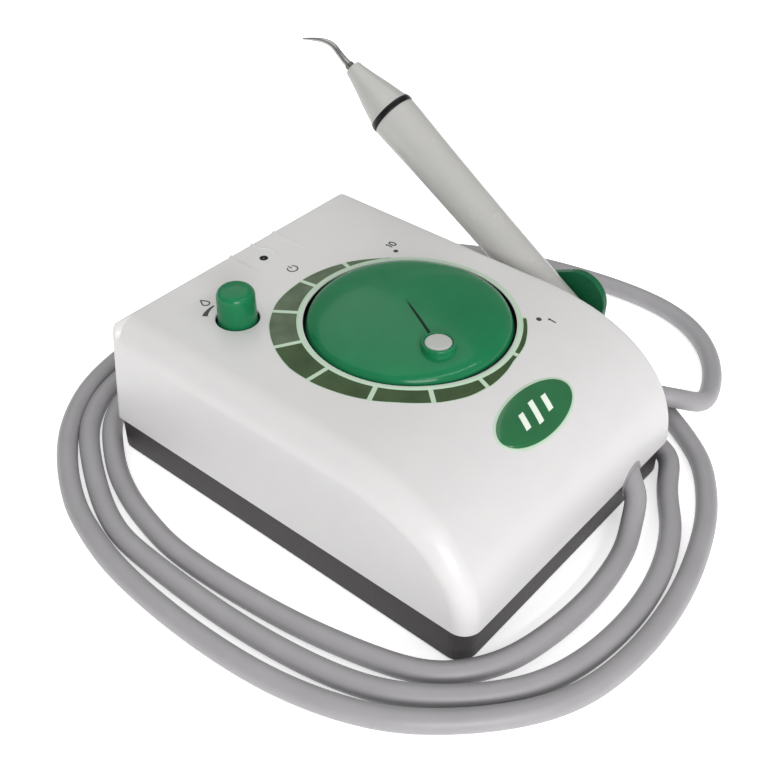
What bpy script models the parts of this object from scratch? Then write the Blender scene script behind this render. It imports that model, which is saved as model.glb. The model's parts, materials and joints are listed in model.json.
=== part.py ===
"""Ultrasonic scaler: a desk-top generator with its power dial, water knob and cradled handpiece.

Sizes are in millimetres in this script and become metres in Blender. +X is the user's right,
+Y is the back of the unit and +Z is up. The unit stands on its four feet at Z = 0.
"""
import math

import bmesh
import bpy
from mathutils import Matrix, Vector

MM = 0.001
GAP = 0.3                      # clearance between neighbouring pieces
TURN = 2.0 * math.pi

# Where the middle of the unit stands, so that the whole object is centred on the origin
UNIT_X = -11.6
UNIT_Y = -10.9

# Case and base tray
HALF_WIDTH = 54.2
BACK_Y = 73.0                  # back face at its foot
BACK_LEAN = 5.7                # how far the back face leans forward at its top
TOP_Z = 51.8
SEAM_Z = 12.0                  # top of the base tray
NOSE_START_Y = -21.0           # where the flat top starts to curve down
NOSE_REACH = 52.3
NOSE_POWER = 2.3               # superellipse power of the nose
WALL = 2.0
LEFT_RADIUS = 9.0              # soft edge on the left
NOSE_CORNER = 6.0              # and where it ends, at the foot of the nose
RIGHT_RADIUS = 3.0             # crisper edge on the handpiece side
TRAY_FLOOR = (1.0, 3.4)        # underside and top of the tray floor
TRAY_INSET = 0.2
TRAY_FRONT_INSET = 1.2
TRAY_CORNER = 5.5
FOOT_SPOTS = ((-42, -44), (42, -44), (-42, 42), (42, 42))
SCREW_SPOTS = ((-42, -58), (42, -58), (-42, 56), (42, 56))
COLUMN_RADIUS = 3.6

# Controls on the top
DIAL = Vector((8.2, -1.5))
DIAL_WELL_RADIUS = 33.2
DIAL_WELL_DEPTH = 5.0
DIAL_RADIUS = 32.3
DIAL_TOP = 57.0
DIAL_ANGLE = math.radians(-118)    # where the pointer stands, from +X
POINTER_RADIUS = 21.5
KNOB = Vector((-25.9, 39.5))
KNOB_WELL_RADIUS = 6.9
KNOB_WELL_DEPTH = 2.0
KNOB_RADIUS = 6.2
KNOB_TOP = 62.4
LAMP = Vector((3.4, 57.3))

# Rear panel, a flat vertical pocket in the leaning back face
PANEL_Y = 67.5
PANEL_X = 44.0
PANEL_Z = (18.0, 40.0)
SOCKET_Z = 29.0
SWITCH_X = -28.0
FOOT_JACK_X = -2.0
POWER_JACK_X = 15.0
WATER_INLET_X = 34.0

# Inside the unit
BOARD = ((-47, -52), (14, 30))     # nearest and farthest corners of the circuit board
BOARD_Z = 9.3
BOARD_TOP = 10.9
BOARD_CORNERS = ((-43, -48), (10, -48), (-43, 26), (10, 26))
VALVE_PORT_Z = 41.0

# Handpiece: its black ring is the local origin and local +Z runs towards the tip
RING = Vector((66.0, 54.0, 81.7))
HANDPIECE_SLOPE = math.radians(32.8)
BODY_LENGTH = 100.0
PLUG_END = -116.0
CRADLE_MIDDLE = -89.8

# Cord
CORD_DIAMETER = 6.8
CORD_Z = CORD_DIAMETER / 2
GLAND = Vector((29.9, -73.3, 12.3))
GLAND_AXIS = Vector((-0.50, -0.72, -0.48)).normalized()
GLAND_RADIUS = 4.1
CORD_ROUTE = (
    (26.7, -77.6, 9.4), (23.2, -79.4, 7.5), (18.6, -81.2, 5.6),
    (13.6, -83.2, 4.2), (8.2, -84.6, 3.5), (0, -85.9), (-11, -86.6), (-22.4, -86), (-33.6, -84.4),
    (-45, -81.6), (-54.6, -76.2), (-61.9, -69.3), (-66.8, -59.9), (-71, -44.3), (-74.3, -28.2),
    (-76.2, -11), (-77.2, 3), (-77.4, 16), (-76.6, 25), (-75, 33), (-73.2, 41), (-70.9, 48.2),
    (-67.7, 56), (-63.9, 63), (-60, 68.8), (-56.4, 73.8), (-52.4, 78.6), (-47, 83), (-38, 87.5),
    (-20, 90.5), (2, 91), (25, 90), (44, 86.5), (57, 79), (64.5, 66), (66.6, 48), (67, 28),
    (67, 8), (65.6, -12), (64.4, -30), (62.6, -46.6), (60.6, -57.6), (59, -65.4), (57.6, -69.8),
    (55.2, -73.7), (51.2, -76.5), (45.9, -78.8), (41.1, -81.3), (36.2, -84.4), (31.5, -87.7),
    (26.7, -90.7), (16.4, -95.2), (4.6, -98.2), (-9, -99.6), (-23.4, -98.9), (-37.8, -96.1),
    (-51.3, -90), (-64.5, -77.9), (-74.3, -65), (-79.6, -51.8), (-82.8, -36), (-84.8, -19),
    (-85.6, 0), (-85.2, 20), (-84.5, 34), (-82.2, 42.5), (-78.8, 51), (-74.8, 58.8), (-70.7, 66),
    (-66.6, 72.5), (-62.7, 78.2), (-58, 83.7), (-52, 88.8), (-44.2, 93.4), (-34, 96.6),
    (-16, 98.8), (8, 99.2),
    (32, 97.8), (53, 92.6), (69, 82), (78.5, 66), (83, 46), (85.6, 24), (86.4, 2), (85.4, -20),
    (82.6, -41), (79, -54), (75.6, -60.6), (72.4, -66), (67.2, -74.2), (60.8, -82.4),
    (53.4, -88.2), (43.5, -94.2), (33, -98.8), (19.4, -102.9), (5.6, -105.8), (-10, -107.1), (-24.6, -106.5),
    (-38.8, -104), (-51, -98.6), (-62, -90.4), (-71.5, -81), (-80, -70.6), (-86, -58.8),
    (-90.4, -45.6), (-93.4, -30.8), (-94.8, -13), (-94.9, 4), (-94, 19), (-92.4, 31.9),
    (-89.4, 43.4), (-86, 54.4), (-81.4, 63.6), (-76.4, 71.8), (-70.9, 79.4), (-64.8, 86.4),
    (-57.6, 92.6), (-49, 98.4), (-38, 103.2), (-22, 106.6), (0, 109), (26, 108), (52, 102.6),
    (76, 91.4), (96, 75), (110.5, 55), (119.4, 36), (125, 17), (128.6, -1), (130, -16),
    (129.6, -29), (126.4, -41), (120.4, -51), (112, -59.2), (102.6, -65), (95, -67.9, 3.5),
    (89.8, -69.2, 4.2), (85.8, -69.4, 5.4), (82, -68.8, 7.2), (78.6, -67.4, 9.2),
    (75.6, -65.1, 10.8), (73, -62, 11.6), (70.6, -58.4, 12.4), (68.4, -54.2, 13.8),
    (66.9, -49.6, 15.8), (66.1, -46.4, 17.3),
)
CORD_POINTS = 78
CORD_BEND_WEIGHT = 80          # how much closer together the points stand where it bends

# Looks: base colour, roughness, metallic
FINISHES = {
    "case_plastic": ((0.80, 0.79, 0.80), 0.30, 0.0),
    "tray_plastic": ((0.085, 0.08, 0.085), 0.50, 0.0),
    "green_plastic": ((0.03, 0.26, 0.11), 0.22, 0.0),
    "dark_green_plastic": ((0.015, 0.13, 0.06), 0.35, 0.0),
    "pointer_plastic": ((0.62, 0.64, 0.62), 0.40, 0.0),
    "black_plastic": ((0.02, 0.02, 0.02), 0.45, 0.0),
    "handpiece_plastic": ((0.62, 0.62, 0.60), 0.35, 0.0),
    "steel": ((0.62, 0.61, 0.60), 0.25, 1.0),
    "titanium": ((0.45, 0.43, 0.41), 0.35, 1.0),
    "brass": ((0.72, 0.52, 0.22), 0.30, 1.0),
    "aluminium": ((0.70, 0.71, 0.72), 0.40, 1.0),
    "ceramic": ((0.36, 0.30, 0.22), 0.60, 0.0),
    "circuit_board": ((0.02, 0.16, 0.07), 0.50, 0.0),
    "copper": ((0.75, 0.35, 0.18), 0.35, 1.0),
    "rubber": ((0.05, 0.05, 0.05), 0.80, 0.0),
    "cord_rubber": ((0.26, 0.26, 0.26), 0.55, 0.0),
    "hose_plastic": ((0.55, 0.60, 0.62), 0.40, 0.0),
    "lamp_lens": ((0.10, 0.35, 0.12), 0.20, 0.0),
}


# ---- Scene and helpers --------------------------------------------------------------------

def clear_scene():
    for obj in list(bpy.data.objects):
        bpy.data.objects.remove(obj, do_unlink=True)


def new_collection(name):
    group = bpy.data.collections.new(name)
    bpy.context.scene.collection.children.link(group)
    return group


def new_material(name):
    colour, roughness, metallic = FINISHES[name]
    finish = bpy.data.materials.new(name)
    finish.use_nodes = True
    shader = finish.node_tree.nodes["Principled BSDF"]
    shader.inputs["Base Color"].default_value = (*colour, 1.0)
    shader.inputs["Roughness"].default_value = roughness
    shader.inputs["Metallic"].default_value = metallic
    finish.diffuse_color = (*colour, 1.0)
    return finish


clear_scene()
PARTS = new_collection("ultrasonic_scaler")
CUTTERS = new_collection("cutters")
MATERIALS = {name: new_material(name) for name in FINISHES}


def new_empty(name, location, rotation=(0.0, 0.0, 0.0), parent=None):
    empty = bpy.data.objects.new(name, None)
    PARTS.objects.link(empty)
    empty.parent = parent
    empty.location = Vector(location) * MM
    empty.rotation_euler = rotation
    return empty


UNIT = new_empty("unit_middle", (UNIT_X, UNIT_Y, 0))
HANDPIECE = new_empty("handpiece_axis", RING, (HANDPIECE_SLOPE - math.pi / 2, 0, 0), UNIT)


def place(obj, location=(0, 0, 0), rotation=(0, 0, 0), parent=None):
    """Stand an object at a place given in millimetres from its parent, the unit's middle."""
    obj.parent = parent or UNIT
    obj.location = Vector(location) * MM
    obj.rotation_euler = rotation
    return obj


def add_object(name, bm, finish=None):
    """Make an object from a bmesh in millimetres; with no finish it is a cutter."""
    bmesh.ops.transform(bm, matrix=Matrix.Scale(MM, 4), verts=bm.verts)
    bmesh.ops.recalc_face_normals(bm, faces=bm.faces)
    mesh = bpy.data.meshes.new(name)
    bm.to_mesh(mesh)
    bm.free()
    obj = bpy.data.objects.new(name, mesh)
    if finish is None:
        CUTTERS.objects.link(obj)
        obj.hide_render = True
        obj.display_type = "WIRE"
    else:
        PARTS.objects.link(obj)
        mesh.materials.append(MATERIALS[finish])
        mesh.shade_smooth()
    return place(obj)


def box(name, low, high, finish=None, bevel=0.0):
    bm = bmesh.new()
    bmesh.ops.create_cube(bm, size=1.0)
    low, high = Vector(low), Vector(high)
    bmesh.ops.scale(bm, vec=high - low, verts=bm.verts)
    bmesh.ops.translate(bm, vec=(low + high) / 2, verts=bm.verts)
    if bevel:
        bmesh.ops.bevel(bm, geom=bm.edges[:], offset=bevel, segments=2, profile=0.5,
                        affect="EDGES")
    return add_object(name, bm, finish)


def cylinder(name, radius, low, high, finish=None, sides=28):
    """A plain cylinder along local Z between two heights."""
    bm = bmesh.new()
    bmesh.ops.create_cone(bm, cap_ends=True, segments=sides, radius1=radius, radius2=radius,
                          depth=high - low)
    bmesh.ops.translate(bm, vec=(0, 0, (low + high) / 2), verts=bm.verts)
    return add_object(name, bm, finish)


def turned(name, profile, finish=None, closed=False, steps=28):
    """Turn a profile of (radius, height) about local Z; a closed profile makes a ring."""
    bm = bmesh.new()
    verts = [bm.verts.new((radius, 0, height)) for radius, height in profile]
    pairs = list(zip(verts, verts[1:]))
    if closed:
        pairs.append((verts[-1], verts[0]))
    for pair in pairs:
        bm.edges.new(pair)
    obj = add_object(name, bm, finish)
    screw = obj.modifiers.new("Turn", "SCREW")
    screw.axis = "Z"
    screw.angle = TURN
    screw.steps = steps
    screw.render_steps = steps
    screw.use_merge_vertices = True
    screw.merge_threshold = 0.000001
    screw.use_smooth_shade = True
    return obj


def circle(radius, sides):
    return [(radius * math.cos(TURN * k / sides), radius * math.sin(TURN * k / sides))
            for k in range(sides)]


def plate(outline, thickness, hole=()):
    """A bmesh of a flat outline with this thickness, centred on its own plane."""
    curve = bpy.data.curves.new("outline", "CURVE")
    curve.dimensions = "2D"
    curve.fill_mode = "BOTH"
    curve.extrude = thickness / 2
    for loop in filter(None, (outline, hole)):
        spline = curve.splines.new("POLY")
        spline.points.add(len(loop) - 1)
        for point, (x, y) in zip(spline.points, loop):
            point.co = (x, y, 0, 1)
        spline.use_cyclic_u = True
    source = bpy.data.objects.new("outline", curve)
    mesh = bpy.data.meshes.new_from_object(source)
    bm = bmesh.new()
    bm.from_mesh(mesh)
    bmesh.ops.remove_doubles(bm, verts=bm.verts, dist=0.0001)
    bmesh.ops.dissolve_limit(bm, angle_limit=math.radians(0.1), verts=bm.verts,
                             edges=bm.edges)
    bpy.data.objects.remove(source)
    bpy.data.curves.remove(curve)
    bpy.data.meshes.remove(mesh)
    return bm


def stand_across(bm):
    """Turn an outline drawn in (y, z) from its own plane so that its thickness runs along X."""
    turn = Matrix(((0, 0, 1, 0), (1, 0, 0, 0), (0, 1, 0, 0), (0, 0, 0, 1)))
    bmesh.ops.transform(bm, matrix=turn, verts=bm.verts)


def bevel_edges(bm, chosen, offset, segments):
    edges = [edge for edge in bm.edges if chosen(*(vert.co for vert in edge.verts))]
    bmesh.ops.bevel(bm, geom=edges, offset=offset, segments=segments, profile=0.5,
                    affect="EDGES", clamp_overlap=True)


def rounded_rectangle(half_x, low_y, high_y, radius, corner_steps=6):
    """Outline points of a rectangle with rounded corners, anticlockwise."""
    points = []
    corners = ((half_x - radius, low_y + radius, -90), (half_x - radius, high_y - radius, 0),
               (radius - half_x, high_y - radius, 90), (radius - half_x, low_y + radius, 180))
    for x, y, start in corners:
        for step in range(corner_steps + 1):
            angle = math.radians(start + 90 * step / corner_steps)
            points.append((x + radius * math.cos(angle), y + radius * math.sin(angle)))
    return points


def boolean(obj, tool, operation="DIFFERENCE"):
    modifier = obj.modifiers.new(tool.name, "BOOLEAN")
    modifier.operation = operation
    modifier.solver = "EXACT"
    modifier.object = tool
    return obj


def smooth_path(route, count, bend_weight=0.0, per_span=16):
    """Points along a smooth curve that follows the route, closer together where it bends."""
    ends = [2 * route[0] - route[1]] + list(route) + [2 * route[-1] - route[-2]]
    fine = []
    for before, start, end, after in zip(ends, ends[1:], ends[2:], ends[3:]):
        for step in range(per_span):
            t = step / per_span
            fine.append(((1 - t) ** 3 * before + (3 * t ** 3 - 6 * t ** 2 + 4) * start
                         + (3 * t - 3 * t ** 3 + 3 * t ** 2 + 1) * end + t ** 3 * after) / 6)
    fine.append(route[-1])
    marks = [0.0]
    last_way = fine[1] - fine[0]
    for first, second in zip(fine, fine[1:]):
        way = second - first
        marks.append(marks[-1] + way.length + bend_weight * way.angle(last_way, 0.0))
        last_way = way
    points = []
    index = 0
    for step in range(count):
        wanted = marks[-1] * step / (count - 1)
        while index < len(marks) - 2 and marks[index + 1] < wanted:
            index += 1
        part = (wanted - marks[index]) / (marks[index + 1] - marks[index])
        points.append(fine[index].lerp(fine[index + 1], part))
    return points


def tube(name, points, diameter, finish):
    """A round solid tube through points in millimetres, with flat ends."""
    curve = bpy.data.curves.new(name, "CURVE")
    curve.dimensions = "3D"
    curve.bevel_depth = diameter / 2 * MM
    curve.bevel_resolution = 2
    curve.use_fill_caps = True
    spline = curve.splines.new("POLY")
    spline.points.add(len(points) - 1)
    for point, place_mm in zip(spline.points, points):
        point.co = (*(Vector(place_mm) * MM), 1)
    curve.materials.append(MATERIALS[finish])
    obj = bpy.data.objects.new(name, curve)
    PARTS.objects.link(obj)
    return place(obj)


# ---- Case and tray ------------------------------------------------------------------------

def case_solid(name, inset, low_z, finish=None):
    """The case's outer form, or with an inset the space inside it, as sections side to side."""
    sections = []
    for side, steps in ((-1, 5), (1, 3)):
        angles = [math.pi / 2 * step / steps for step in range(steps + 1)]
        sections += [case_section(side, angle, inset, low_z) for angle in angles[::-side]]
    bm = bmesh.new()
    rows = [[bm.verts.new(point) for point in section] for section in sections]
    for first, second in zip(rows, rows[1:]):
        for index in range(len(first)):
            after = (index + 1) % len(first)
            bm.faces.new((first[index], first[after], second[after], second[index]))
    bm.faces.new(rows[0][::-1])
    bm.faces.new(rows[-1])
    return add_object(name, bm, finish)


def case_section(side, angle, inset, low_z):
    """Points round the case at this angle of a side's rounding, 0 at the side itself.

    The long profile is drawn in along its normals there, by more at the soft top edge than at
    the back and the foot of the nose.
    """
    top_radius = LEFT_RADIUS if side < 0 else RIGHT_RADIUS
    nose_radius = min(top_radius, NOSE_CORNER)

    def drawn_in(radius):
        rounding = radius - inset
        depth = inset + rounding * (1 - math.sin(angle))
        return side * (HALF_WIDTH - inset - rounding * (1 - math.cos(angle))), depth

    rise = TOP_Z - SEAM_Z
    x, depth = drawn_in(RIGHT_RADIUS)
    x_top, depth_top = drawn_in(top_radius)
    top = TOP_Z - depth_top
    points = []
    for drop, back in ((top - low_z, 0), (1.5, 0), (0.44, 0.44)):
        lean = BACK_LEAN * (top - drop - SEAM_Z) / rise
        points.append((x, BACK_Y - lean - depth - back, top - drop))
    points.append((x_top, BACK_Y - BACK_LEAN - depth - 1.5, top))
    points.append((x_top, NOSE_START_Y, top))
    nose_steps = 13
    for step in range(1, nose_steps + 1):
        part = step / nose_steps
        turn = math.pi / 2 * part
        along = math.sin(turn) ** (2 / NOSE_POWER)
        up = max(math.cos(turn), 0.0) ** (2 / NOSE_POWER)
        normal = Vector((-along ** (NOSE_POWER - 1) / NOSE_REACH,
                         up ** (NOSE_POWER - 1) / rise)).normalized()
        x, depth = drawn_in(top_radius + (nose_radius - top_radius) * part)
        z = SEAM_Z + rise * up - depth * normal.y if step < nose_steps else low_z
        points.append((x, NOSE_START_Y - NOSE_REACH * along - depth * normal.x, z))
    return points


def on_gland(obj):
    """Stand an object at the cord gland with its local +Z pointing out along the cord."""
    return place(obj, GLAND, GLAND_AXIS.to_track_quat("Z", "Y").to_euler())


def gland_hole(owner):
    return on_gland(cylinder(f"{owner}_gland_hole", GLAND_RADIUS + GAP, -9, 9))


def upper_case():
    """The white cover: a hollow moulding with wells for the controls and screw columns."""
    space = case_solid("case_space", WALL, SEAM_Z - 6)
    for index, (x, y) in enumerate(SCREW_SPOTS):
        column = cylinder(f"case_column_{index + 1}", COLUMN_RADIUS, 6.4, 60)
        boolean(space, place(column, (x, y, 0)))
    wells = (("dial", DIAL, DIAL_WELL_RADIUS, DIAL_WELL_DEPTH),
             ("knob", KNOB, KNOB_WELL_RADIUS, KNOB_WELL_DEPTH))
    for name, spot, radius, depth in wells:
        cup = cylinder(f"{name}_cup", radius + WALL, TOP_Z - depth - WALL, 60, sides=36)
        boolean(space, place(cup, (spot.x, spot.y, 0)))
    boolean(space, box("panel_block", (-PANEL_X - WALL, PANEL_Y - WALL, PANEL_Z[0] - WALL),
                       (PANEL_X + WALL, 80, PANEL_Z[1] + WALL)))

    case = case_solid("upper_case", 0.0, SEAM_Z + GAP, "case_plastic")
    boolean(case, space)
    for name, spot, radius, depth in wells:
        well = cylinder(f"{name}_well", radius, TOP_Z - depth, 60, sides=56)
        boolean(case, place(well, (spot.x, spot.y, 0)))
        boolean(case, place(cylinder(f"{name}_bush_hole", 3.8, 30, 60), (spot.x, spot.y, 0)))
    boolean(case, place(cylinder("lamp_hole", 1.25, 30, 60, sides=24), (LAMP.x, LAMP.y, 0)))
    boolean(case, box("panel_pocket", (-PANEL_X, PANEL_Y, PANEL_Z[0]),
                      (PANEL_X, 80, PANEL_Z[1])))
    holes = ((FOOT_JACK_X, 4.5), (POWER_JACK_X, 6.0), (WATER_INLET_X, 4.0))
    for index, (x, radius) in enumerate(holes):
        hole = cylinder(f"panel_hole_{index + 1}", radius, -6, 6)
        boolean(case, place(hole, (x, PANEL_Y, SOCKET_Z), (math.pi / 2, 0, 0)))
    boolean(case, box("switch_hole", (SWITCH_X - 9.7, 60, SOCKET_Z - 7.1),
                      (SWITCH_X + 9.7, 75, SOCKET_Z + 7.1)))
    boolean(case, gland_hole("case"))
    for index, (x, y) in enumerate(SCREW_SPOTS):
        screw_hole = cylinder(f"column_hole_{index + 1}", 1.7, 0, 18, sides=16)
        boolean(case, place(screw_hole, (x, y, 0)))
    for index, spot in enumerate(cradle_screw_spots()):
        wall_hole = cylinder(f"wall_hole_{index + 1}", 1.8, 40, 60, sides=16)
        boolean(case, place(wall_hole, (0, spot.y, spot.z), (0, math.pi / 2, 0)))
    return case


def base_tray():
    """The dark tray under the case, with pads for the screws and posts for the board."""
    half = HALF_WIDTH - TRAY_INSET
    front = NOSE_START_Y - NOSE_REACH + TRAY_FRONT_INSET
    back = BACK_Y - TRAY_INSET
    low, floor = TRAY_FLOOR
    bm = plate(rounded_rectangle(half, front, back, TRAY_CORNER), SEAM_Z - low)
    bmesh.ops.translate(bm, vec=(0, 0, (SEAM_Z + low) / 2), verts=bm.verts)
    tray = add_object("base_tray", bm, "tray_plastic")

    bm = plate(rounded_rectangle(half - WALL, front + WALL, back - WALL, TRAY_CORNER - WALL),
               SEAM_Z - floor + 2)
    bmesh.ops.translate(bm, vec=(0, 0, (SEAM_Z + floor + 2) / 2), verts=bm.verts)
    space = add_object("tray_space", bm)
    for index, (x, y) in enumerate(SCREW_SPOTS):
        pad = cylinder(f"screw_pad_{index + 1}", 4.6, 0, 6.1)
        boolean(space, place(pad, (x, y, 0)))
    for index, (x, y) in enumerate(BOARD_CORNERS):
        post = cylinder(f"board_post_{index + 1}", 2.6, 0, BOARD_Z - GAP, sides=16)
        boolean(space, place(post, (x, y, 0)))
    boolean(tray, space)
    for index, (x, y) in enumerate(SCREW_SPOTS):
        shank = cylinder(f"tray_screw_hole_{index + 1}", 1.7, 0, 10, sides=16)
        boolean(tray, place(shank, (x, y, 0)))
        sink = cylinder(f"tray_screw_sink_{index + 1}", 3.3, 0, 4.0, sides=32)
        boolean(tray, place(sink, (x, y, 0)))
    for index, (x, y) in enumerate(FOOT_SPOTS):
        recess = cylinder(f"foot_recess_{index + 1}", 5.8, 0, 2.0)
        boolean(tray, place(recess, (x, y, 0)))
    for index, (x, y) in enumerate(BOARD_CORNERS):
        hole = cylinder(f"board_screw_hole_{index + 1}", 1.3, 4.5, 12, sides=16)
        boolean(tray, place(hole, (x, y, 0)))
    boolean(tray, gland_hole("tray"))
    return tray


def feet_and_case_screws():
    for index, (x, y) in enumerate(FOOT_SPOTS):
        foot = turned(f"foot_{index + 1}", [(0, 1.7), (5.5, 1.7), (5.5, 0.5), (5.0, 0), (0, 0)],
                      "rubber", steps=32)
        place(foot, (x, y, 0))
    for index, (x, y) in enumerate(SCREW_SPOTS):
        profile = [(0, 16), (1.4, 15.2), (1.4, 3.7), (2.9, 3.7), (2.9, 2.2), (2.4, 1.7), (0, 1.7)]
        screw = turned(f"case_screw_{index + 1}", profile, "steel", steps=16)
        place(screw, (x, y, 0))


# ---- Power dial ---------------------------------------------------------------------------

def power_dial():
    """The big domed dial, its pointer, and the potentiometer that it turns."""
    well_floor = TOP_Z - DIAL_WELL_DEPTH
    skirt = well_floor + 0.8
    dome = [(0, DIAL_TOP), (8, DIAL_TOP - 0.1), (16, DIAL_TOP - 0.5), (23, DIAL_TOP - 1.2),
            (27.5, DIAL_TOP - 2.1), (30, DIAL_TOP - 3.1), (31.5, DIAL_TOP - 4.4),
            (DIAL_RADIUS, DIAL_TOP - 6.2), (DIAL_RADIUS, skirt)]
    under = [(30.4, skirt), (30.0, 51.4), (27.0, 52.8), (20, 53.7), (6.5, 54.2), (6.5, 50.4),
             (3.2, 50.4), (3.2, 54.6), (0, 54.6)]
    dial = turned("power_dial", dome + under, "green_plastic", steps=56)
    boss = turned("pointer_boss", [(0, 58.0), (4.7, 58.0), (5.3, 57.4), (5.5, 54.2), (0, 54.2)])
    spot = Vector((math.cos(DIAL_ANGLE), math.sin(DIAL_ANGLE))) * POINTER_RADIUS
    place(boss, (spot.x, spot.y, 0), parent=place(new_empty("dial_turn", (0, 0, 0)),
                                                  (DIAL.x, DIAL.y, 0)))
    axis = boss.parent
    place(dial, parent=axis)
    boolean(dial, boss, "UNION")
    boolean(dial, place(cylinder("pointer_seat", 4.3, 56.7, 60), (spot.x, spot.y, 0),
                        parent=axis))
    groove = box("pointer_groove", (-4, -0.45, DIAL_TOP - 0.9), (16.6, 0.45, DIAL_TOP + 2))
    boolean(dial, place(groove, rotation=(0, 0, DIAL_ANGLE), parent=axis))

    pointer = turned("dial_pointer", [(0, 58.2), (3.2, 58.15), (4.0, 57.9), (4.0, 57.0),
                                      (0, 57.0)], "pointer_plastic")
    place(pointer, (spot.x, spot.y, 0), parent=axis)
    shaft = turned("potentiometer_shaft", [(0, 53.9), (2.5, 53.9), (2.9, 53.5), (2.9, 38.5),
                                           (0, 38.5)], "brass", steps=32)
    place(shaft, parent=axis)

    under_well = well_floor - WALL - GAP
    can = [(0, 38.2), (3.2, 38.2), (3.2, 50.0), (3.5, 50.0), (3.5, under_well),
           (12, under_well), (12, 36), (0, 36)]
    place(turned("potentiometer", can, "aluminium"), (DIAL.x, DIAL.y, 0))
    place(hex_nut("potentiometer_nut", 5.6, 3.8, well_floor + GAP, well_floor + 2.6),
          (DIAL.x, DIAL.y, 0))


def hex_nut(name, radius, bore, low, high):
    """A hexagonal nut with a plain bore."""
    bm = plate(circle(radius, 6), high - low, hole=circle(bore, 24))
    bmesh.ops.translate(bm, vec=(0, 0, (low + high) / 2), verts=bm.verts)
    return add_object(name, bm, "steel")


# ---- Water knob ---------------------------------------------------------------------------

def water_knob():
    """The ribbed knob, the stem that it turns, and the needle valve under the case."""
    well_floor = TOP_Z - KNOB_WELL_DEPTH
    skirt = well_floor + 0.5
    axis = place(new_empty("water_knob_turn", (0, 0, 0)), (KNOB.x, KNOB.y, 0))
    knob = place(ribbed_knob(skirt), parent=axis)
    boolean(knob, place(cylinder("stem_bore", 2.3, 40, 60, sides=32), parent=axis))
    boolean(knob, place(cylinder("nut_space", 4.9, 40, 53, sides=40), parent=axis))
    stem = turned("water_valve_stem", [(0, 59.7), (1.6, 59.7), (2.0, 59.3), (2.0, 39.5),
                                       (0.4, 38.0), (0, 38.0)], "brass", steps=32)
    place(stem, parent=axis)

    top = well_floor - WALL - GAP
    bottom = top - 12
    body = box("water_valve", (-8, -8, bottom), (8, 8, top), "brass", bevel=0.5)
    place(body, (KNOB.x, KNOB.y, 0))
    bush = place(cylinder("valve_bush", 3.0, top - 1, well_floor + 2.6), (KNOB.x, KNOB.y, 0))
    boolean(body, bush, "UNION")
    for index, turn in enumerate((0, -math.pi / 2)):
        barb = cylinder(f"valve_barb_{index + 1}", 2.2, 7, 12, sides=16)
        place(barb, (KNOB.x, KNOB.y, VALVE_PORT_Z), (math.pi / 2, 0, math.pi / 2 + turn))
        boolean(body, barb, "UNION")
    bore = place(cylinder("valve_bore", 2.3, 37.7, 60, sides=32), (KNOB.x, KNOB.y, 0))
    boolean(body, bore)
    place(hex_nut("water_valve_nut", 4.5, 3.3, well_floor + GAP, well_floor + 2.3),
          (KNOB.x, KNOB.y, 0))


def ribbed_knob(skirt):
    """A knob turned with a rounded crown, its side pressed into fine ribs."""
    sides = 72
    rib_depth = 0.2
    crown = 2.6
    heights = [skirt, KNOB_TOP - crown]
    radii = [KNOB_RADIUS, KNOB_RADIUS - 0.15]
    for step in range(1, 6):
        angle = math.pi / 2 * step / 5
        heights.append(KNOB_TOP - crown + crown * math.sin(angle))
        radii.append(KNOB_RADIUS - 0.15 - crown + crown * math.cos(angle))
    bm = bmesh.new()
    bmesh.ops.create_cone(bm, cap_ends=True, segments=sides, radius1=radii[0],
                          radius2=radii[1], depth=heights[1] - heights[0])
    bmesh.ops.translate(bm, vec=(0, 0, (heights[0] + heights[1]) / 2), verts=bm.verts)
    for height, radius in zip(heights[2:], radii[2:]):
        top = max(bm.faces, key=lambda face: face.calc_center_median().z)
        grown = bmesh.ops.extrude_face_region(bm, geom=[top])["geom"]
        verts = [item for item in grown if isinstance(item, bmesh.types.BMVert)]
        bmesh.ops.delete(bm, geom=[top], context="FACES_ONLY")
        old = math.hypot(verts[0].co.x, verts[0].co.y)
        bmesh.ops.scale(bm, vec=(radius / old, radius / old, 1), verts=verts)
        bmesh.ops.translate(bm, vec=(0, 0, height - verts[0].co.z), verts=verts)
    for vert in bm.verts:
        column = round(math.atan2(vert.co.y, vert.co.x) / TURN * sides)
        if column % 2 and vert.co.z < KNOB_TOP - crown + 0.1:
            vert.co.xy *= 1 - rib_depth / KNOB_RADIUS
    return add_object("water_knob", bm, "green_plastic")


# ---- Lamp, gland and rear panel -----------------------------------------------------------

def lamp_and_gland():
    bezel = turned("lamp_bezel", [(0.7, TOP_Z + 0.2), (1.2, TOP_Z + 0.2), (1.45, TOP_Z + 0.1),
                                  (1.45, TOP_Z + 0.05), (1.0, TOP_Z + 0.05), (1.0, 47),
                                  (0.7, 47)], "black_plastic", closed=True, steps=20)
    place(bezel, (LAMP.x, LAMP.y, 0))
    lamp = turned("power_lamp", [(0, TOP_Z + 0.2), (0.35, TOP_Z + 0.1), (0.5, TOP_Z - 0.2),
                                 (0.5, 46.6), (1.5, 46.6), (1.5, 45.2), (0, 45.2)],
                  "lamp_lens", steps=24)
    place(lamp, (LAMP.x, LAMP.y, 0))
    sleeve = [(3.65, 8), (GLAND_RADIUS, 8), (GLAND_RADIUS, -8), (3.65, -8)]
    gland = on_gland(turned("cord_gland", sleeve, "rubber", closed=True))
    boolean(gland, box("gland_trim", (0, -100, -10), (60, GLAND.y - 0.5, 40)))


def on_panel(obj, x):
    """Stand a socket on the rear panel with its local +Z pointing out of the back."""
    return place(obj, (x, PANEL_Y, SOCKET_Z), (-math.pi / 2, 0, 0))


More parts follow.
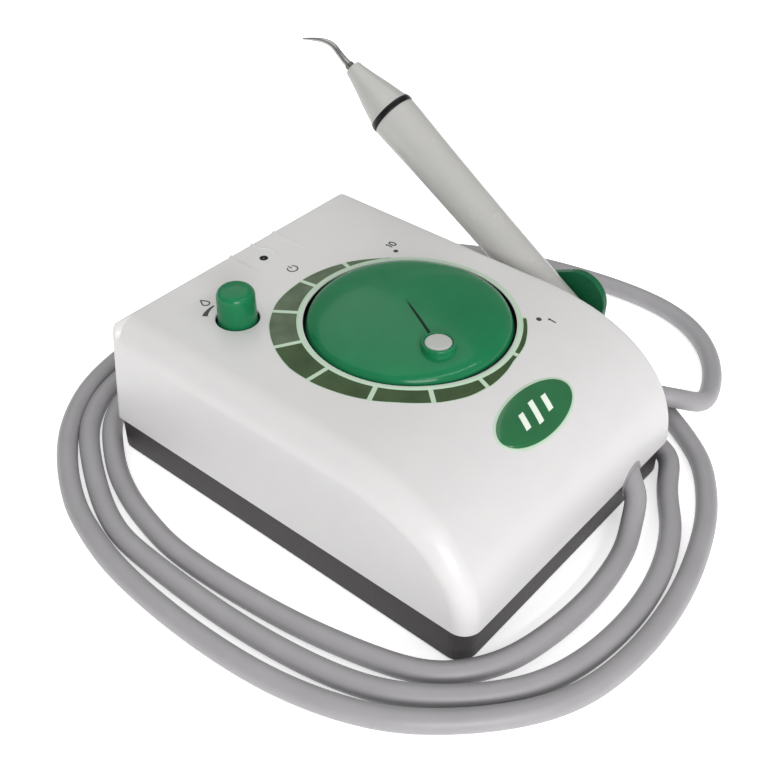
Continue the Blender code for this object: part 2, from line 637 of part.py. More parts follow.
def rear_sockets():
    jack = [(0, -12), (1.9, -12), (1.9, 2.0), (5.2, 2.0), (5.6, 1.6), (5.6, GAP), (4.2, GAP),
            (4.2, -9), (5, -9), (5, -15), (0, -15)]
    on_panel(turned("foot_switch_socket", jack, "black_plastic"), FOOT_JACK_X)
    on_panel(hex_nut("foot_switch_nut", 7.0, 4.5, -4.4, -WALL - GAP), FOOT_JACK_X)
    power = [(0, -1), (0.8, -1.4), (0.8, -9), (3.4, -9), (3.4, 2.4), (7.0, 2.4), (7.6, 1.8),
             (7.6, GAP), (5.7, GAP), (5.7, -13), (0, -13)]
    on_panel(turned("power_socket", power, "black_plastic"), POWER_JACK_X)
    inlet = [(1.2, 15), (2.0, 15), (2.9, 12), (2.3, 12), (2.3, 11), (2.9, 8), (2.3, 8),
             (2.3, 4), (5.4, 4), (5.4, GAP), (3.7, GAP), (3.7, -7), (1.2, -7)]
    on_panel(turned("water_inlet", inlet, "brass", closed=True, steps=24), WATER_INLET_X)
    on_panel(hex_nut("water_inlet_nut", 6.4, 4.0, -4.6, -WALL - GAP), WATER_INLET_X)


def power_switch():
    """The mains rocker and its snap-in frame."""
    frame = box("switch_frame", (-11, -8.4, GAP), (11, 8.4, 1.8), "black_plastic", bevel=0.4)
    on_panel(frame, SWITCH_X)
    body = on_panel(box("switch_body", (-9.4, -6.8, -12), (9.4, 6.8, 1.0)), SWITCH_X)
    boolean(frame, body, "UNION")
    boolean(frame, on_panel(box("switch_opening", (-8.7, -6.1, -9), (8.7, 6.1, 5)), SWITCH_X))
    outline = [(-2.5, -3.2), (1.5, -4.9), (5.2, -4.9), (3.9, 0), (5.2, 4.9), (1.5, 4.9),
               (-2.5, 3.2)]
    bm = plate(outline, 16.6)
    stand_across(bm)
    bevel_edges(bm, lambda first, second: abs(first.x - second.x) < 0.01, 0.3, 1)
    rocker = add_object("switch_rocker", bm, "black_plastic")
    place(rocker, (SWITCH_X, PANEL_Y - 3.0, SOCKET_Z), (math.radians(-10), 0, 0))


# ---- Inside the unit ----------------------------------------------------------------------

def circuit():
    """The driving board with its larger components, screwed to the tray's posts."""
    (low_x, low_y), (high_x, high_y) = BOARD
    board = box("main_board", (low_x, low_y, BOARD_Z), (high_x, high_y, BOARD_TOP),
                "circuit_board")
    for index, (x, y) in enumerate(BOARD_CORNERS):
        hole = cylinder(f"board_hole_{index + 1}", 1.3, 0, 20, sides=16)
        boolean(board, place(hole, (x, y, 0)))
        profile = [(0, 13), (2.0, 12.6), (2.2, 11.2), (1.0, 11.2), (1.0, 5), (0, 5)]
        place(turned(f"board_screw_{index + 1}", profile, "steel", steps=16), (x, y, 0))
    rest = BOARD_TOP + GAP
    box("transformer", (-43, -4, rest), (-19, 18, 30), "tray_plastic", bevel=1.0)
    sink = box("heat_sink", (-44, -42, rest), (-28, -8, 28), "aluminium")
    for index in range(3):
        x = -41.2 + 4.6 * index
        boolean(sink, box(f"fin_slot_{index + 1}", (x, -50, rest + 3), (x + 2.6, 0, 40)))
    place(turned("capacitor", [(0, 30), (5.4, 30), (6, 29.4), (6, rest), (0, rest)],
                 "aluminium", steps=24), (0, 15, 0))
    ring = [(6 + 3 * math.cos(TURN * k / 8), rest + 3 + 3 * math.sin(TURN * k / 8))
            for k in range(8)]
    place(turned("output_coil", ring[::-1], "copper", closed=True, steps=24), (3, -22, 0))


def water_path():
    """The solenoid valve on the tray and the hoses from the inlet to the cord gland."""
    low, floor = TRAY_FLOOR
    valve = box("solenoid_valve", (26, 20, floor + GAP), (48, 42, 26), "black_plastic", 0.8)
    back_barb = cylinder("solenoid_back_barb", 2.2, -5, 1, sides=16)
    boolean(valve, place(back_barb, (36, 42, 18), (math.pi / 2, 0, 0)), "UNION")
    side_barb = cylinder("solenoid_side_barb", 2.2, -5, 1, sides=16)
    boolean(valve, place(side_barb, (26, 31, 18), (0, math.pi / 2, 0)), "UNION")
    hoses = {
        "inlet_hose": ((34, 60.2, 29), (34, 58.2, 29), (34.3, 56.2, 28.4), (35, 54.4, 24.6),
                       (35.7, 52.4, 20.2), (36, 49.8, 18), (36, 47.3, 18)),
        "regulator_hose": ((20.7, 31, 18), (18.2, 31, 18), (12, 32, 21), (2, 36, 32),
                           (-6, 39.2, 40), (-11.2, 39.5, 41), (-13.6, 39.5, 41)),
        "handpiece_hose": ((-25.9, 27.2, 41), (-25.9, 24.6, 41), (-26, 18, 40.5),
                           (-25, 4, 36.5), (-20, -20, 29), (-6, -36, 24), (12, -44, 21),
                           (27, -51, 20.5), (35.6, -57.5, 20.6), (37.3, -62.5, 19.5),
                           GLAND - 12.5 * GLAND_AXIS, GLAND - 10.0 * GLAND_AXIS),
    }
    for name, route in hoses.items():
        points = smooth_path([Vector(spot) for spot in route], 4 * len(route))
        tube(name, points, 4.4, "hose_plastic")


# ---- Handpiece and its cradle -------------------------------------------------------------

def on_handpiece(obj, location=(0, 0, 0), rotation=(0, 0, 0)):
    return place(obj, location, rotation, HANDPIECE)


def handpiece():
    """The handpiece, turned about its own axis: shell, ring, nose, tip and transducer."""
    body = [(7.6, -1.2), (8.3, -1.2), (7.8, -18), (7.35, -38), (7.1, -58), (6.95, -80),
            (6.95, -BODY_LENGTH + 0.8), (6.4, -BODY_LENGTH), (5.6, -BODY_LENGTH), (5.6, -1.2)]
    on_handpiece(turned("handpiece_body", body, "handpiece_plastic", closed=True, steps=36))
    ring = [(5.7, 0.9), (8.4, 0.9), (8.5, 0.5), (8.5, -0.5), (8.4, -0.9), (5.7, -0.9)]
    on_handpiece(turned("handpiece_ring", ring, "black_plastic", closed=True, steps=36))
    nose = [(2.3, 21.7), (2.5, 21.7), (3.0, 21.1), (3.2, 20.0), (4.9, 13.0), (6.95, 5.6),
            (7.8, 2.2), (8.2, 1.2), (5.6, 1.2), (3.6, 12), (2.3, 17)]
    on_handpiece(turned("nose_cone", nose, "handpiece_plastic", closed=True, steps=36))
    horn = [(0, 19), (1.7, 19), (1.9, 8), (2.3, 3), (4.4, -4), (5.0, -7), (5.0, -26),
            (2.1, -26), (2.1, -14), (0, -14)]
    on_handpiece(turned("transducer_horn", horn, "titanium", steps=24))
    for index in range(4):
        top = -26.3 - 3.3 * index
        disc = [(2.2, top), (5.0, top), (5.0, top - 3), (2.2, top - 3)]
        on_handpiece(turned(f"piezo_disc_{index + 1}", disc, "ceramic", closed=True, steps=24))
    tail = [(2.2, -39.5), (5.0, -39.5), (5.0, -52), (2.2, -52)]
    on_handpiece(turned("tail_mass", tail, "steel", closed=True, steps=24))
    bolt = [(0, -15), (1.8, -15), (1.8, -52.3), (3.4, -52.3), (3.4, -55.3), (0, -55.3)]
    on_handpiece(turned("transducer_bolt", bolt, "steel", steps=32))
    plug = [(0, -90), (5.2, -90), (5.3, -91), (5.3, -BODY_LENGTH - GAP), (6.6, -100.6),
            (6.6, -103.2), (6.2, -104), (0, -104)]
    on_handpiece(turned("handpiece_plug", plug, "cord_rubber", steps=24))
    boot = [(0, -104.3), (5.4, -104.3), (5.4, -106), (4.9, -107), (4.4, PLUG_END + 1),
            (4.1, PLUG_END), (0, PLUG_END)]
    on_handpiece(turned("plug_boot", boot, "cord_rubber", steps=24))
    scaler_tip()


def scaler_tip():
    """The curved steel tip: a round wire that thins towards its working end."""
    route = ((0, 0, 19.3), (0, 0.4, 22.4), (0, 0.6, 25.3), (0, 0.45, 28.0), (0, 0.2, 30.9),
             (0, 0.45, 33.0), (0, 1.35, 35.0), (0, 3.0, 37.3), (0, 6.2, 40.7), (0, 9.2, 43.6))
    thickness = (1.5, 1.5, 1.25, 1.15, 1.05, 0.95, 0.85, 0.65, 0.5, 0.32)
    curve = bpy.data.curves.new("scaler_tip", "CURVE")
    curve.dimensions = "3D"
    curve.bevel_depth = MM
    curve.bevel_resolution = 3
    curve.use_fill_caps = True
    spline = curve.splines.new("POLY")
    spline.points.add(len(route) - 1)
    for point, spot, radius in zip(spline.points, route, thickness):
        point.co = (*(Vector(spot) * MM), 1)
        point.radius = radius
    curve.materials.append(MATERIALS["steel"])
    tip = bpy.data.objects.new("scaler_tip", curve)
    PARTS.objects.link(tip)
    on_handpiece(tip)


def on_axis(along, above):
    """A point of the unit's frame beside the handpiece's axis, in the plane of the axis."""
    forward = Vector((0, math.cos(HANDPIECE_SLOPE), math.sin(HANDPIECE_SLOPE)))
    up = Vector((0, -math.sin(HANDPIECE_SLOPE), math.cos(HANDPIECE_SLOPE)))
    return RING + forward * along + up * above


def cradle_screw_spots():
    return [on_axis(CRADLE_MIDDLE + shift, -8.0) for shift in (-7.0, 7.0)]


def cradle():
    """The green cradle on the right wall: a trough with a tall rounded outer ear."""
    inner = 7.6
    outer = 10.2
    ear = 13.0
    lift = 0.3
    wall_side = -(RING.x - HALF_WIDTH - GAP)
    bottom = lift - outer
    section = [(-inner, 2.5), (wall_side, 2.5), (wall_side, bottom), (0, bottom)]
    arc_steps = 14
    for step in range(1, arc_steps + 1):
        angle = math.radians(-90 + 90 * step / arc_steps)
        section.append((outer * math.cos(angle), lift + outer * math.sin(angle)))
    section += [(outer, ear), (inner, ear)]
    for step in range(2 * arc_steps + 1):
        angle = math.radians(-180 * step / (2 * arc_steps))
        section.append((inner * math.cos(angle), lift + inner * math.sin(angle)))
    bm = plate(section, 25.0)
    holder = add_object("handpiece_cradle", bm, "dark_green_plastic")
    on_handpiece(holder, (0, 0, CRADLE_MIDDLE), (math.pi, 0, 0))

    ear_radius = 9.7
    outline = [(-12.8, -20), (12.8, -20), (12.8, 0)]
    for step in range(17):
        angle = math.radians(30 + 120 * step / 16)
        outline.append((ear_radius * math.cos(angle) - 0.6, ear_radius * math.sin(angle) + 2.4))
    outline.append((-12.2, 2.2))
    bm = plate(outline, 60)
    stand_across(bm)
    form = add_object("ear_form", bm)
    form.parent = UNIT
    form.location = on_axis(CRADLE_MIDDLE, 0) * MM
    form.rotation_euler = (HANDPIECE_SLOPE, 0, 0)
    boolean(holder, form, "INTERSECT")
    for index, spot in enumerate(cradle_screw_spots()):
        hole = cylinder(f"cradle_screw_hole_{index + 1}", 1.5, 50, 59.4, sides=16)
        boolean(holder, place(hole, (0, spot.y, spot.z), (0, math.pi / 2, 0)))
        profile = [(0, 59.0), (1.2, 58.5), (1.2, 51.9), (2.7, 51.9), (2.7, 50.6), (2.2, 50.1),
                   (0, 50.1)]
        screw = turned(f"cradle_screw_{index + 1}", profile, "steel", steps=16)
        place(screw, (0, spot.y, spot.z), (0, math.pi / 2, 0))
    return holder


def handpiece_cord():
    """The free cord: three loose turns round the unit and back to the handpiece's boot."""
    route = [GLAND + along * GLAND_AXIS for along in (-9.7, -5.5, -1.5, 2.6)]
    route += [Vector(spot if len(spot) == 3 else (*spot, CORD_Z)) for spot in CORD_ROUTE]
    route.append(on_axis(PLUG_END - 2 * GAP, 0))
    points = smooth_path(route, CORD_POINTS, CORD_BEND_WEIGHT)
    points.insert(1, route[3])
    points.insert(-1, route[-1].lerp(route[-2], 0.8))
    tube("handpiece_cord", points, CORD_DIAMETER, "cord_rubber")


upper_case()
base_tray()
feet_and_case_screws()
power_dial()
water_knob()
lamp_and_gland()
rear_sockets()
power_switch()
circuit()
water_path()
handpiece()
cradle()
handpiece_cord()
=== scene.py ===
"""Looks of the desk-top ultrasonic scaler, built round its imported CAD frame.

Sizes are in millimetres from the unit's middle on the floor, as in the CAD, and become metres
in the row frame. +X is the user's right, +Y the back and +Z up.
"""
import json
import math

import bmesh
import bpy
from mathutils import Matrix, Vector
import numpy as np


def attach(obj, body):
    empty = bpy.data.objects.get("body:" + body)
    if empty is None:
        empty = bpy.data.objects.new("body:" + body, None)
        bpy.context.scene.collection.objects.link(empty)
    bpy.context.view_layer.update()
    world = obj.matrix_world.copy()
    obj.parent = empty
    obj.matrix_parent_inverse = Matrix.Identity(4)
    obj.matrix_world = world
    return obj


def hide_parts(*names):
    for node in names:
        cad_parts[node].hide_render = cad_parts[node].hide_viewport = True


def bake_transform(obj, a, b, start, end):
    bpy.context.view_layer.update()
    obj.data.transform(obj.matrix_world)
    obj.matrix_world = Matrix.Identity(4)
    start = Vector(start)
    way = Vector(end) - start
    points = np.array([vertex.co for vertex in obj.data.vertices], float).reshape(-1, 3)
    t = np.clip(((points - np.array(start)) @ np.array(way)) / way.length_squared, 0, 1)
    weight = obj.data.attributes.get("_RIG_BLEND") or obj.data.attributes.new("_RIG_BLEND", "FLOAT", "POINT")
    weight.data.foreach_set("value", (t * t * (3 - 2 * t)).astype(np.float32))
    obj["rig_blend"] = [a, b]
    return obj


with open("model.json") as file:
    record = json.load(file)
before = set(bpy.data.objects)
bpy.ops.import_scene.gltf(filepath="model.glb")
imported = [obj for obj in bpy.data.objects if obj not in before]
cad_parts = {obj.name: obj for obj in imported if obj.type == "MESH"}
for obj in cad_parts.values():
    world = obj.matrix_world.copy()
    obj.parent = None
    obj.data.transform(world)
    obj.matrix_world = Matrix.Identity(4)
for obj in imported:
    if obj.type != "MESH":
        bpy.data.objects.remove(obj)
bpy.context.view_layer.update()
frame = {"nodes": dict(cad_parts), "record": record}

MM = 0.001
TURN = 2 * math.pi
UNIT = Vector((-11.6, -10.9, 0))       # where the unit's middle stands in the row frame

# The case
HALF_WIDTH = 54.2
BACK_Y = 73.0
BACK_LEAN = 5.7
TOP_Z = 51.8
SEAM_Z = 12.0
NOSE_START_Y = -21.0
NOSE_REACH = 52.3
NOSE_POWER = 2.3
LEFT_RADIUS = 9.0
RIGHT_RADIUS = 3.0
NOSE_CORNER = 6.0

# Camera: what it looks at, how far off it is, and from where
CAMERA_AIM = Vector((6.6, 7.6, 21.9))
CAMERA_DISTANCE = 378.4
CAMERA_AZIMUTH = math.radians(-49.77)
CAMERA_ELEVATION = math.radians(39.10)
CAMERA_LENS = 53.87

# Controls
DIAL = Vector((8.2, -1.5))
DIAL_WELL = 33.2
DIAL_WELL_FLOOR = TOP_Z - 5
DIAL_TOP = 57.0
DIAL_ANGLE = math.radians(-118)
POINTER = Vector((math.cos(DIAL_ANGLE), math.sin(DIAL_ANGLE))) * 21.5
KNOB = Vector((-25.9, 39.5))
KNOB_TOP = 62.4
KNOB_WELL = 6.9
KNOB_WELL_FLOOR = TOP_Z - 2
LAMP = Vector((3.4, 57.3))

# Handpiece: its black ring, and its axis towards the tip
RING = Vector((66.0, 54.0, 81.7))
SLOPE = math.radians(32.8)
FORWARD = Vector((0, math.cos(SLOPE), math.sin(SLOPE)))
ABOVE = Vector((0, -math.sin(SLOPE), math.cos(SLOPE)))
PLUG_END = -116.0
CRADLE_MIDDLE = -89.8

# Cord
CORD_DIAMETER = 6.8
CORD_Z = CORD_DIAMETER / 2
CORD_SIDES = 28
CORD_STEPS = 8      # steps of the path for each point of the route
CORD_REACH = 88     # steps, back from the handpiece, that follow it when it's lifted
CORD_INSIDE = 9.7   # how far the cord runs on inside the case, behind the gland
GLAND = Vector((29.9, -73.3, 12.3))
GLAND_AXIS = Vector((-0.50, -0.72, -0.48)).normalized()
CORD_ROUTE = (
    (26.7, -77.6, 9.4), (23.2, -79.4, 7.5), (18.6, -81.2, 5.6),
    (13.6, -83.2, 4.2), (8.2, -84.6, 3.5), (0, -85.9), (-11, -86.6), (-22.4, -86), (-33.6, -84.4),
    (-45, -81.6), (-54.6, -76.2), (-61.9, -69.3), (-66.8, -59.9), (-71, -44.3), (-74.3, -28.2),
    (-76.2, -11), (-77.2, 3), (-77.4, 16), (-76.6, 25), (-75, 33), (-73.2, 41), (-70.9, 48.2),
    (-67.7, 56), (-63.9, 63), (-60, 68.8), (-56.4, 73.8), (-52.4, 78.6), (-47, 83), (-38, 87.5),
    (-20, 90.5), (2, 91), (25, 90), (44, 86.5), (57, 79), (64.5, 66), (66.6, 48), (67, 28),
    (67, 8), (65.6, -12), (64.4, -30), (62.6, -46.6), (60.6, -57.6), (59, -65.4), (57.6, -69.8),
    (55.2, -73.7), (51.2, -76.5), (45.9, -78.8), (41.1, -81.3), (36.2, -84.4), (31.5, -87.7),
    (26.7, -90.7), (16.4, -95.2), (4.6, -98.2), (-9, -99.6), (-23.4, -98.9), (-37.8, -96.1),
    (-51.3, -90), (-64.5, -77.9), (-74.3, -65), (-79.6, -51.8), (-82.8, -36), (-84.8, -19),
    (-85.6, 0), (-85.2, 20), (-84.5, 34), (-82.2, 42.5), (-78.8, 51), (-74.8, 58.8), (-70.7, 66),
    (-66.6, 72.5), (-62.7, 78.2), (-58, 83.7), (-52, 88.8), (-44.2, 93.4), (-34, 96.6),
    (-16, 98.8), (8, 99.2),
    (32, 97.8), (53, 92.6), (69, 82), (78.5, 66), (83, 46), (85.6, 24), (86.4, 2), (85.4, -20),
    (82.6, -41), (79, -54), (75.6, -60.6), (72.4, -66), (67.2, -74.2), (60.8, -82.4),
    (53.4, -88.2), (43.5, -94.2), (33, -98.8), (19.4, -102.9), (5.6, -105.8), (-10, -107.1),
    (-24.6, -106.5), (-38.8, -104), (-51, -98.6), (-62, -90.4), (-71.5, -81), (-80, -70.6),
    (-86, -58.8),
    (-90.4, -45.6), (-93.4, -30.8), (-94.8, -13), (-94.9, 4), (-94, 19), (-92.4, 31.9),
    (-89.4, 43.4), (-86, 54.4), (-81.4, 63.6), (-76.4, 71.8), (-70.9, 79.4), (-64.8, 86.4),
    (-57.6, 92.6), (-49, 98.4), (-38, 103.2), (-22, 106.6), (0, 109), (26, 108), (52, 102.6),
    (76, 91.4), (96, 75), (110.5, 55), (119.4, 36), (125, 17), (128.6, -1), (130, -16),
    (129.6, -29), (126.4, -41), (120.4, -51), (112, -59.2), (102.6, -65), (95, -67.9, 3.5),
    (89.8, -69.2, 4.2), (85.8, -69.4, 5.4), (82, -68.8, 7.2), (78.6, -67.4, 9.2),
    (75.6, -65.1, 10.8), (73, -62, 11.6), (70.6, -58.4, 12.4), (68.4, -54.2, 13.8),
    (66.9, -49.6, 15.8), (66.1, -46.4, 17.3),
)


def row(point):
    """A point of the unit, in millimetres, as a point of the row frame in metres."""
    return (Vector(point) + UNIT) * MM


# ---- Camera, light and floor --------------------------------------------------------------

def add_camera():
    data = bpy.data.cameras.new("camera")
    data.sensor_width = 36
    data.lens = CAMERA_LENS
    data.clip_start = 0.01
    camera = bpy.data.objects.new("camera", data)
    bpy.context.collection.objects.link(camera)
    back = Vector((math.sin(CAMERA_AZIMUTH) * math.cos(CAMERA_ELEVATION),
                   -math.cos(CAMERA_AZIMUTH) * math.cos(CAMERA_ELEVATION),
                   math.sin(CAMERA_ELEVATION)))
    camera.location = row(CAMERA_AIM + CAMERA_DISTANCE * back)
    camera.rotation_euler = back.to_track_quat("Z", "Y").to_euler()
    bpy.context.scene.camera = camera


def add_lamp(name, place, size, power, colour):
    """A soft rectangular lamp, in metres and watts, that faces the object."""
    data = bpy.data.lights.new(name, "AREA")
    data.shape = "RECTANGLE"
    data.size, data.size_y = size
    data.energy = power
    data.color = colour
    lamp = bpy.data.objects.new(name, data)
    bpy.context.collection.objects.link(lamp)
    lamp.location = place
    lamp.rotation_euler = (Vector(place) - Vector((0, 0, 0.03))).to_track_quat("Z", "Y").to_euler()


def add_studio():
    """Even daylight, a low lamp in front on the left, a wide one above and behind, a pale floor.

    A row of small lamps in front gives the thin line of light along the dial's lower edge.
    """
    scene = bpy.context.scene
    scene.view_settings.view_transform = "Standard"
    world = bpy.data.worlds.new("studio")
    world.use_nodes = True
    sky = world.node_tree.nodes["Background"]
    sky.inputs["Color"].default_value = (1.0, 1.0, 1.0, 1)
    sky.inputs["Strength"].default_value = 0.36
    scene.world = world
    add_lamp("key", (-0.80, -1.00, 0.45), (0.7, 0.5), 10.5, (1.0, 0.975, 1.0))
    add_lamp("top", (0.1, 0.6, 1.6), (2.4, 2.4), 16.5, (1.0, 1.0, 0.975))
    for number in range(14):
        add_lamp(f"row_{number + 1}", (-0.75 + 0.1 * number, -1.0, 0.95), (0.045, 0.045), 0.3,
                 (1.0, 0.985, 1.0))
    bm = bmesh.new()
    bmesh.ops.create_grid(bm, x_segments=1, y_segments=1, size=6)
    mesh = bpy.data.meshes.new("floor")
    bm.to_mesh(mesh)
    bm.free()
    floor = bpy.data.objects.new("floor", mesh)
    bpy.context.collection.objects.link(floor)
    paint = finish("floor_paint", (0.95, 0.95, 0.95), 0.9, specular=0.1, shade=0.005)
    glow = paint.node_tree.nodes["Principled BSDF"]
    glow.inputs["Emission Color"].default_value = (1, 1, 1, 1)
    glow.inputs["Emission Strength"].default_value = 0.5
    mesh.materials.append(paint)


# ---- Materials ----------------------------------------------------------------------------

def add_node(tree, kind, **values):
    """A shader node with its sockets, named with underscores, set to these values."""
    node = tree.nodes.new(kind)
    for name, value in values.items():
        node.inputs[name.replace("_", " ")].default_value = value
    return node


def finish(name, colour, roughness, metallic=0.0, coat=0.0, specular=0.5, shade=0.06,
           shade_size=90.0, grain=0.0, grain_size=2600.0, smudge=0.05, subsurface=0.0):
    """A material whose colour and gloss drift softly, with a fine grain pressed into it.

    shade is how far the colour drifts and smudge how far the roughness does. Sizes are noise
    scales per metre.
    """
    material = bpy.data.materials.new(name)
    material.use_nodes = True
    tree = material.node_tree
    shader = tree.nodes["Principled BSDF"]
    shader.inputs["Metallic"].default_value = metallic
    shader.inputs["Coat Weight"].default_value = coat
    shader.inputs["Coat Roughness"].default_value = 0.05
    shader.inputs["Specular IOR Level"].default_value = specular
    shader.inputs["Subsurface Weight"].default_value = subsurface
    shader.inputs["Subsurface Scale"].default_value = 0.002
    place = tree.nodes.new("ShaderNodeTexCoord")

    drift = add_node(tree, "ShaderNodeTexNoise", Scale=shade_size, Detail=4.0, Roughness=0.55)
    tree.links.new(place.outputs["Object"], drift.inputs["Vector"])
    ramp = tree.nodes.new("ShaderNodeValToRGB")
    ramp.color_ramp.elements[0].position = 0.3
    ramp.color_ramp.elements[1].position = 0.7
    ramp.color_ramp.elements[0].color = (*(channel * (1 - shade) for channel in colour), 1)
    ramp.color_ramp.elements[1].color = (*(min(channel * (1 + shade), 1) for channel in colour), 1)
    tree.links.new(drift.outputs["Fac"], ramp.inputs["Fac"])
    tree.links.new(ramp.outputs["Color"], shader.inputs["Base Color"])

    gloss = add_node(tree, "ShaderNodeMapRange")
    gloss.inputs["To Min"].default_value = max(roughness - smudge, 0.02)
    gloss.inputs["To Max"].default_value = roughness + smudge
    tree.links.new(drift.outputs["Fac"], gloss.inputs["Value"])
    tree.links.new(gloss.outputs["Result"], shader.inputs["Roughness"])

    if grain:
        fine = add_node(tree, "ShaderNodeTexNoise", Scale=grain_size, Detail=2.0)
        tree.links.new(place.outputs["Object"], fine.inputs["Vector"])
        bump = add_node(tree, "ShaderNodeBump", Strength=grain, Distance=0.0002)
        tree.links.new(fine.outputs["Fac"], bump.inputs["Height"])
        tree.links.new(bump.outputs["Normal"], shader.inputs["Normal"])
    return material


def make_finishes():
    """One material for each slot of the CAD nodes, by the slot's name."""
    return {
        "case_plastic": finish("case_white", (0.615, 0.610, 0.605), 0.34, coat=0.06,
                               specular=0.4, shade=0.012, grain=0.06, grain_size=1400,
                               subsurface=0.05),
        "tray_plastic": finish("tray_grey", (0.036, 0.032, 0.034), 0.46, specular=0.25,
                               shade=0.12, grain=0.5, grain_size=5200),
        "green_plastic": finish("green_gloss", (0.009, 0.165, 0.062), 0.2, coat=0.12,
                                specular=0.17, shade=0.05, smudge=0.03, grain=0.03,
                                grain_size=900),
        # The cradle's green is a darker copy of the dial's green: painted shade taken from its shaded inner
        # face. The satin gloss is its own.
        "dark_green_plastic": finish("green_satin_shaded", (0.007, 0.104, 0.042), 0.28, coat=0.06,
                                     specular=0.16, shade=0.08, grain=0.1),
        "pointer_plastic": finish("pointer_grey", (0.42, 0.44, 0.415), 0.42, shade=0.05,
                                  grain=0.2),
        "black_plastic": finish("black_moulding", (0.005, 0.005, 0.006), 0.22, specular=0.22,
                                shade=0.2, grain=0.35, grain_size=4200),
        "handpiece_plastic": finish("handpiece_shell", (0.425, 0.425, 0.408), 0.26, coat=0.25,
                                    shade=0.02, grain=0.05, grain_size=1800),
        "steel": finish("machined_steel", (0.36, 0.355, 0.35), 0.2, metallic=1.0, shade=0.1,
                        shade_size=700, grain=0.2, grain_size=3800),
        "titanium": finish("turned_titanium", (0.40, 0.38, 0.36), 0.32, metallic=1.0,
                           shade=0.12, grain=0.3),
        "brass": finish("turned_brass", (0.66, 0.46, 0.18), 0.28, metallic=1.0, shade=0.1,
                        grain=0.2),
        "aluminium": finish("plain_aluminium", (0.66, 0.67, 0.68), 0.38, metallic=1.0,
                            shade=0.06, grain=0.4),
        "ceramic": finish("piezo_ceramic", (0.32, 0.26, 0.19), 0.6, shade=0.12, grain=0.5),
        "circuit_board": finish("board_lacquer", (0.015, 0.13, 0.05), 0.35, shade=0.2,
                                shade_size=400, grain=0.4),
        "copper": finish("copper_winding", (0.70, 0.30, 0.14), 0.35, metallic=1.0, shade=0.2,
                         shade_size=1800, grain=0.6, grain_size=3000),
        "rubber": finish("black_rubber", (0.035, 0.035, 0.036), 0.75, shade=0.15, grain=0.5),
        "cord_rubber": finish("cord_silicone", (0.300, 0.294, 0.304), 0.42, shade=0.05,
                              shade_size=60, grain=0.22, grain_size=3400),
        "hose_plastic": finish("milky_hose", (0.50, 0.55, 0.57), 0.38, shade=0.06, grain=0.1),
        "lamp_lens": finish("lamp_lens", (0.02, 0.05, 0.025), 0.12, coat=0.6, shade=0.1),
    }


# ---- Mesh helpers -------------------------------------------------------------------------

def bridge(bm, first, second):
    """Faces between two closed rings with the same number of vertices."""
    for index in range(len(first)):
        after = (index + 1) % len(first)
        bm.faces.new((first[index], first[after], second[after], second[index]))


def close_sheets(bm, low, high):
    """A closed solid between two sheets, each given as rows of vertices."""
    for sheet in (low, high):
        for first, second in zip(sheet, sheet[1:]):
            for corners in zip(first, first[1:], second[1:], second):
                bm.faces.new(corners)
    rims = [sheet[0] + [line[-1] for line in sheet[1:]] + sheet[-1][-2::-1]
            + [line[0] for line in sheet[-2:0:-1]] for sheet in (low, high)]
    bridge(bm, *rims)


def add_piece(name, bm, material, body="unit", sharp=35.0):
    """A shaded piece from a bmesh in millimetres, riding on a CAD body if one is named."""
    bmesh.ops.recalc_face_normals(bm, faces=bm.faces)
    bmesh.ops.translate(bm, vec=UNIT, verts=bm.verts)
    bmesh.ops.scale(bm, vec=(MM, MM, MM), verts=bm.verts)
    mesh = bpy.data.meshes.new(name)
    bm.to_mesh(mesh)
    bm.free()
    mesh.materials.append(material)
    smooth(mesh, sharp)
    piece = bpy.data.objects.new(name, mesh)
    bpy.context.collection.objects.link(piece)
    if body:
        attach(piece, body)
    return piece


def smooth(mesh, sharp):
    mesh.shade_smooth()
    mesh.set_sharp_from_angle(angle=math.radians(sharp))


def frame_matrix(origin, z_axis, x_axis=(1, 0, 0)):
    """A frame with this origin, its +Z along z_axis and its +X near x_axis."""
    z_axis = Vector(z_axis).normalized()
    y_axis = z_axis.cross(Vector(x_axis)).normalized()
    x_axis = y_axis.cross(z_axis)
    turn = Matrix((x_axis, y_axis, z_axis)).transposed().to_4x4()
    return Matrix.Translation(Vector(origin)) @ turn


def upright(x, y):
    return Matrix.Translation((x, y, 0))


def on_handpiece():
    """A frame at the black ring, its +Z along the handpiece towards the tip."""
    return frame_matrix(RING, FORWARD)


def turned(profile, matrix, steps=96, ring=False, wave=None):
    """A bmesh of a profile of (radius, height) turned about local Z and then placed."""
    bm = bmesh.new()
    rows = []
    for radius, height in profile:
        if radius < 1e-6:
            rows.append([bm.verts.new((0, 0, height))])
            continue
        verts = []
        for step in range(steps):
            angle = TURN * step / steps
            wide = radius + (wave(angle, radius, height) if wave else 0)
            verts.append(bm.verts.new((wide * math.cos(angle), wide * math.sin(angle), height)))
        rows.append(verts)
    pairs = list(zip(rows, rows[1:]))
    if ring:
        pairs.append((rows[-1], rows[0]))
    for first, second in pairs:
        for step in range(steps):
            after = (step + 1) % steps
            if len(first) == 1:
                bm.faces.new((first[0], second[step], second[after]))
            elif len(second) == 1:
                bm.faces.new((first[after], first[step], second[0]))
            else:
                bm.faces.new((first[after], first[step], second[step], second[after]))
    bmesh.ops.transform(bm, matrix=matrix, verts=bm.verts)
    return bm


def rounded(profile, radius=0.3, steps=4):
    """The profile with its inner corners rounded to this radius, as far as they have room."""
    points = [Vector(point) for point in profile]
    result = [points[0]]
    for before, corner, after in zip(points, points[1:], points[2:]):
        to_before, to_after = before - corner, after - corner
        room = min(radius, to_before.length * 0.45, to_after.length * 0.45)
        start = corner + to_before.normalized() * room
        end = corner + to_after.normalized() * room
        for step in range(steps + 1):
            t = step / steps
            result.append((1 - t) ** 2 * start + 2 * t * (1 - t) * corner + t ** 2 * end)
    result.append(points[-1])
    return [tuple(point) for point in result]


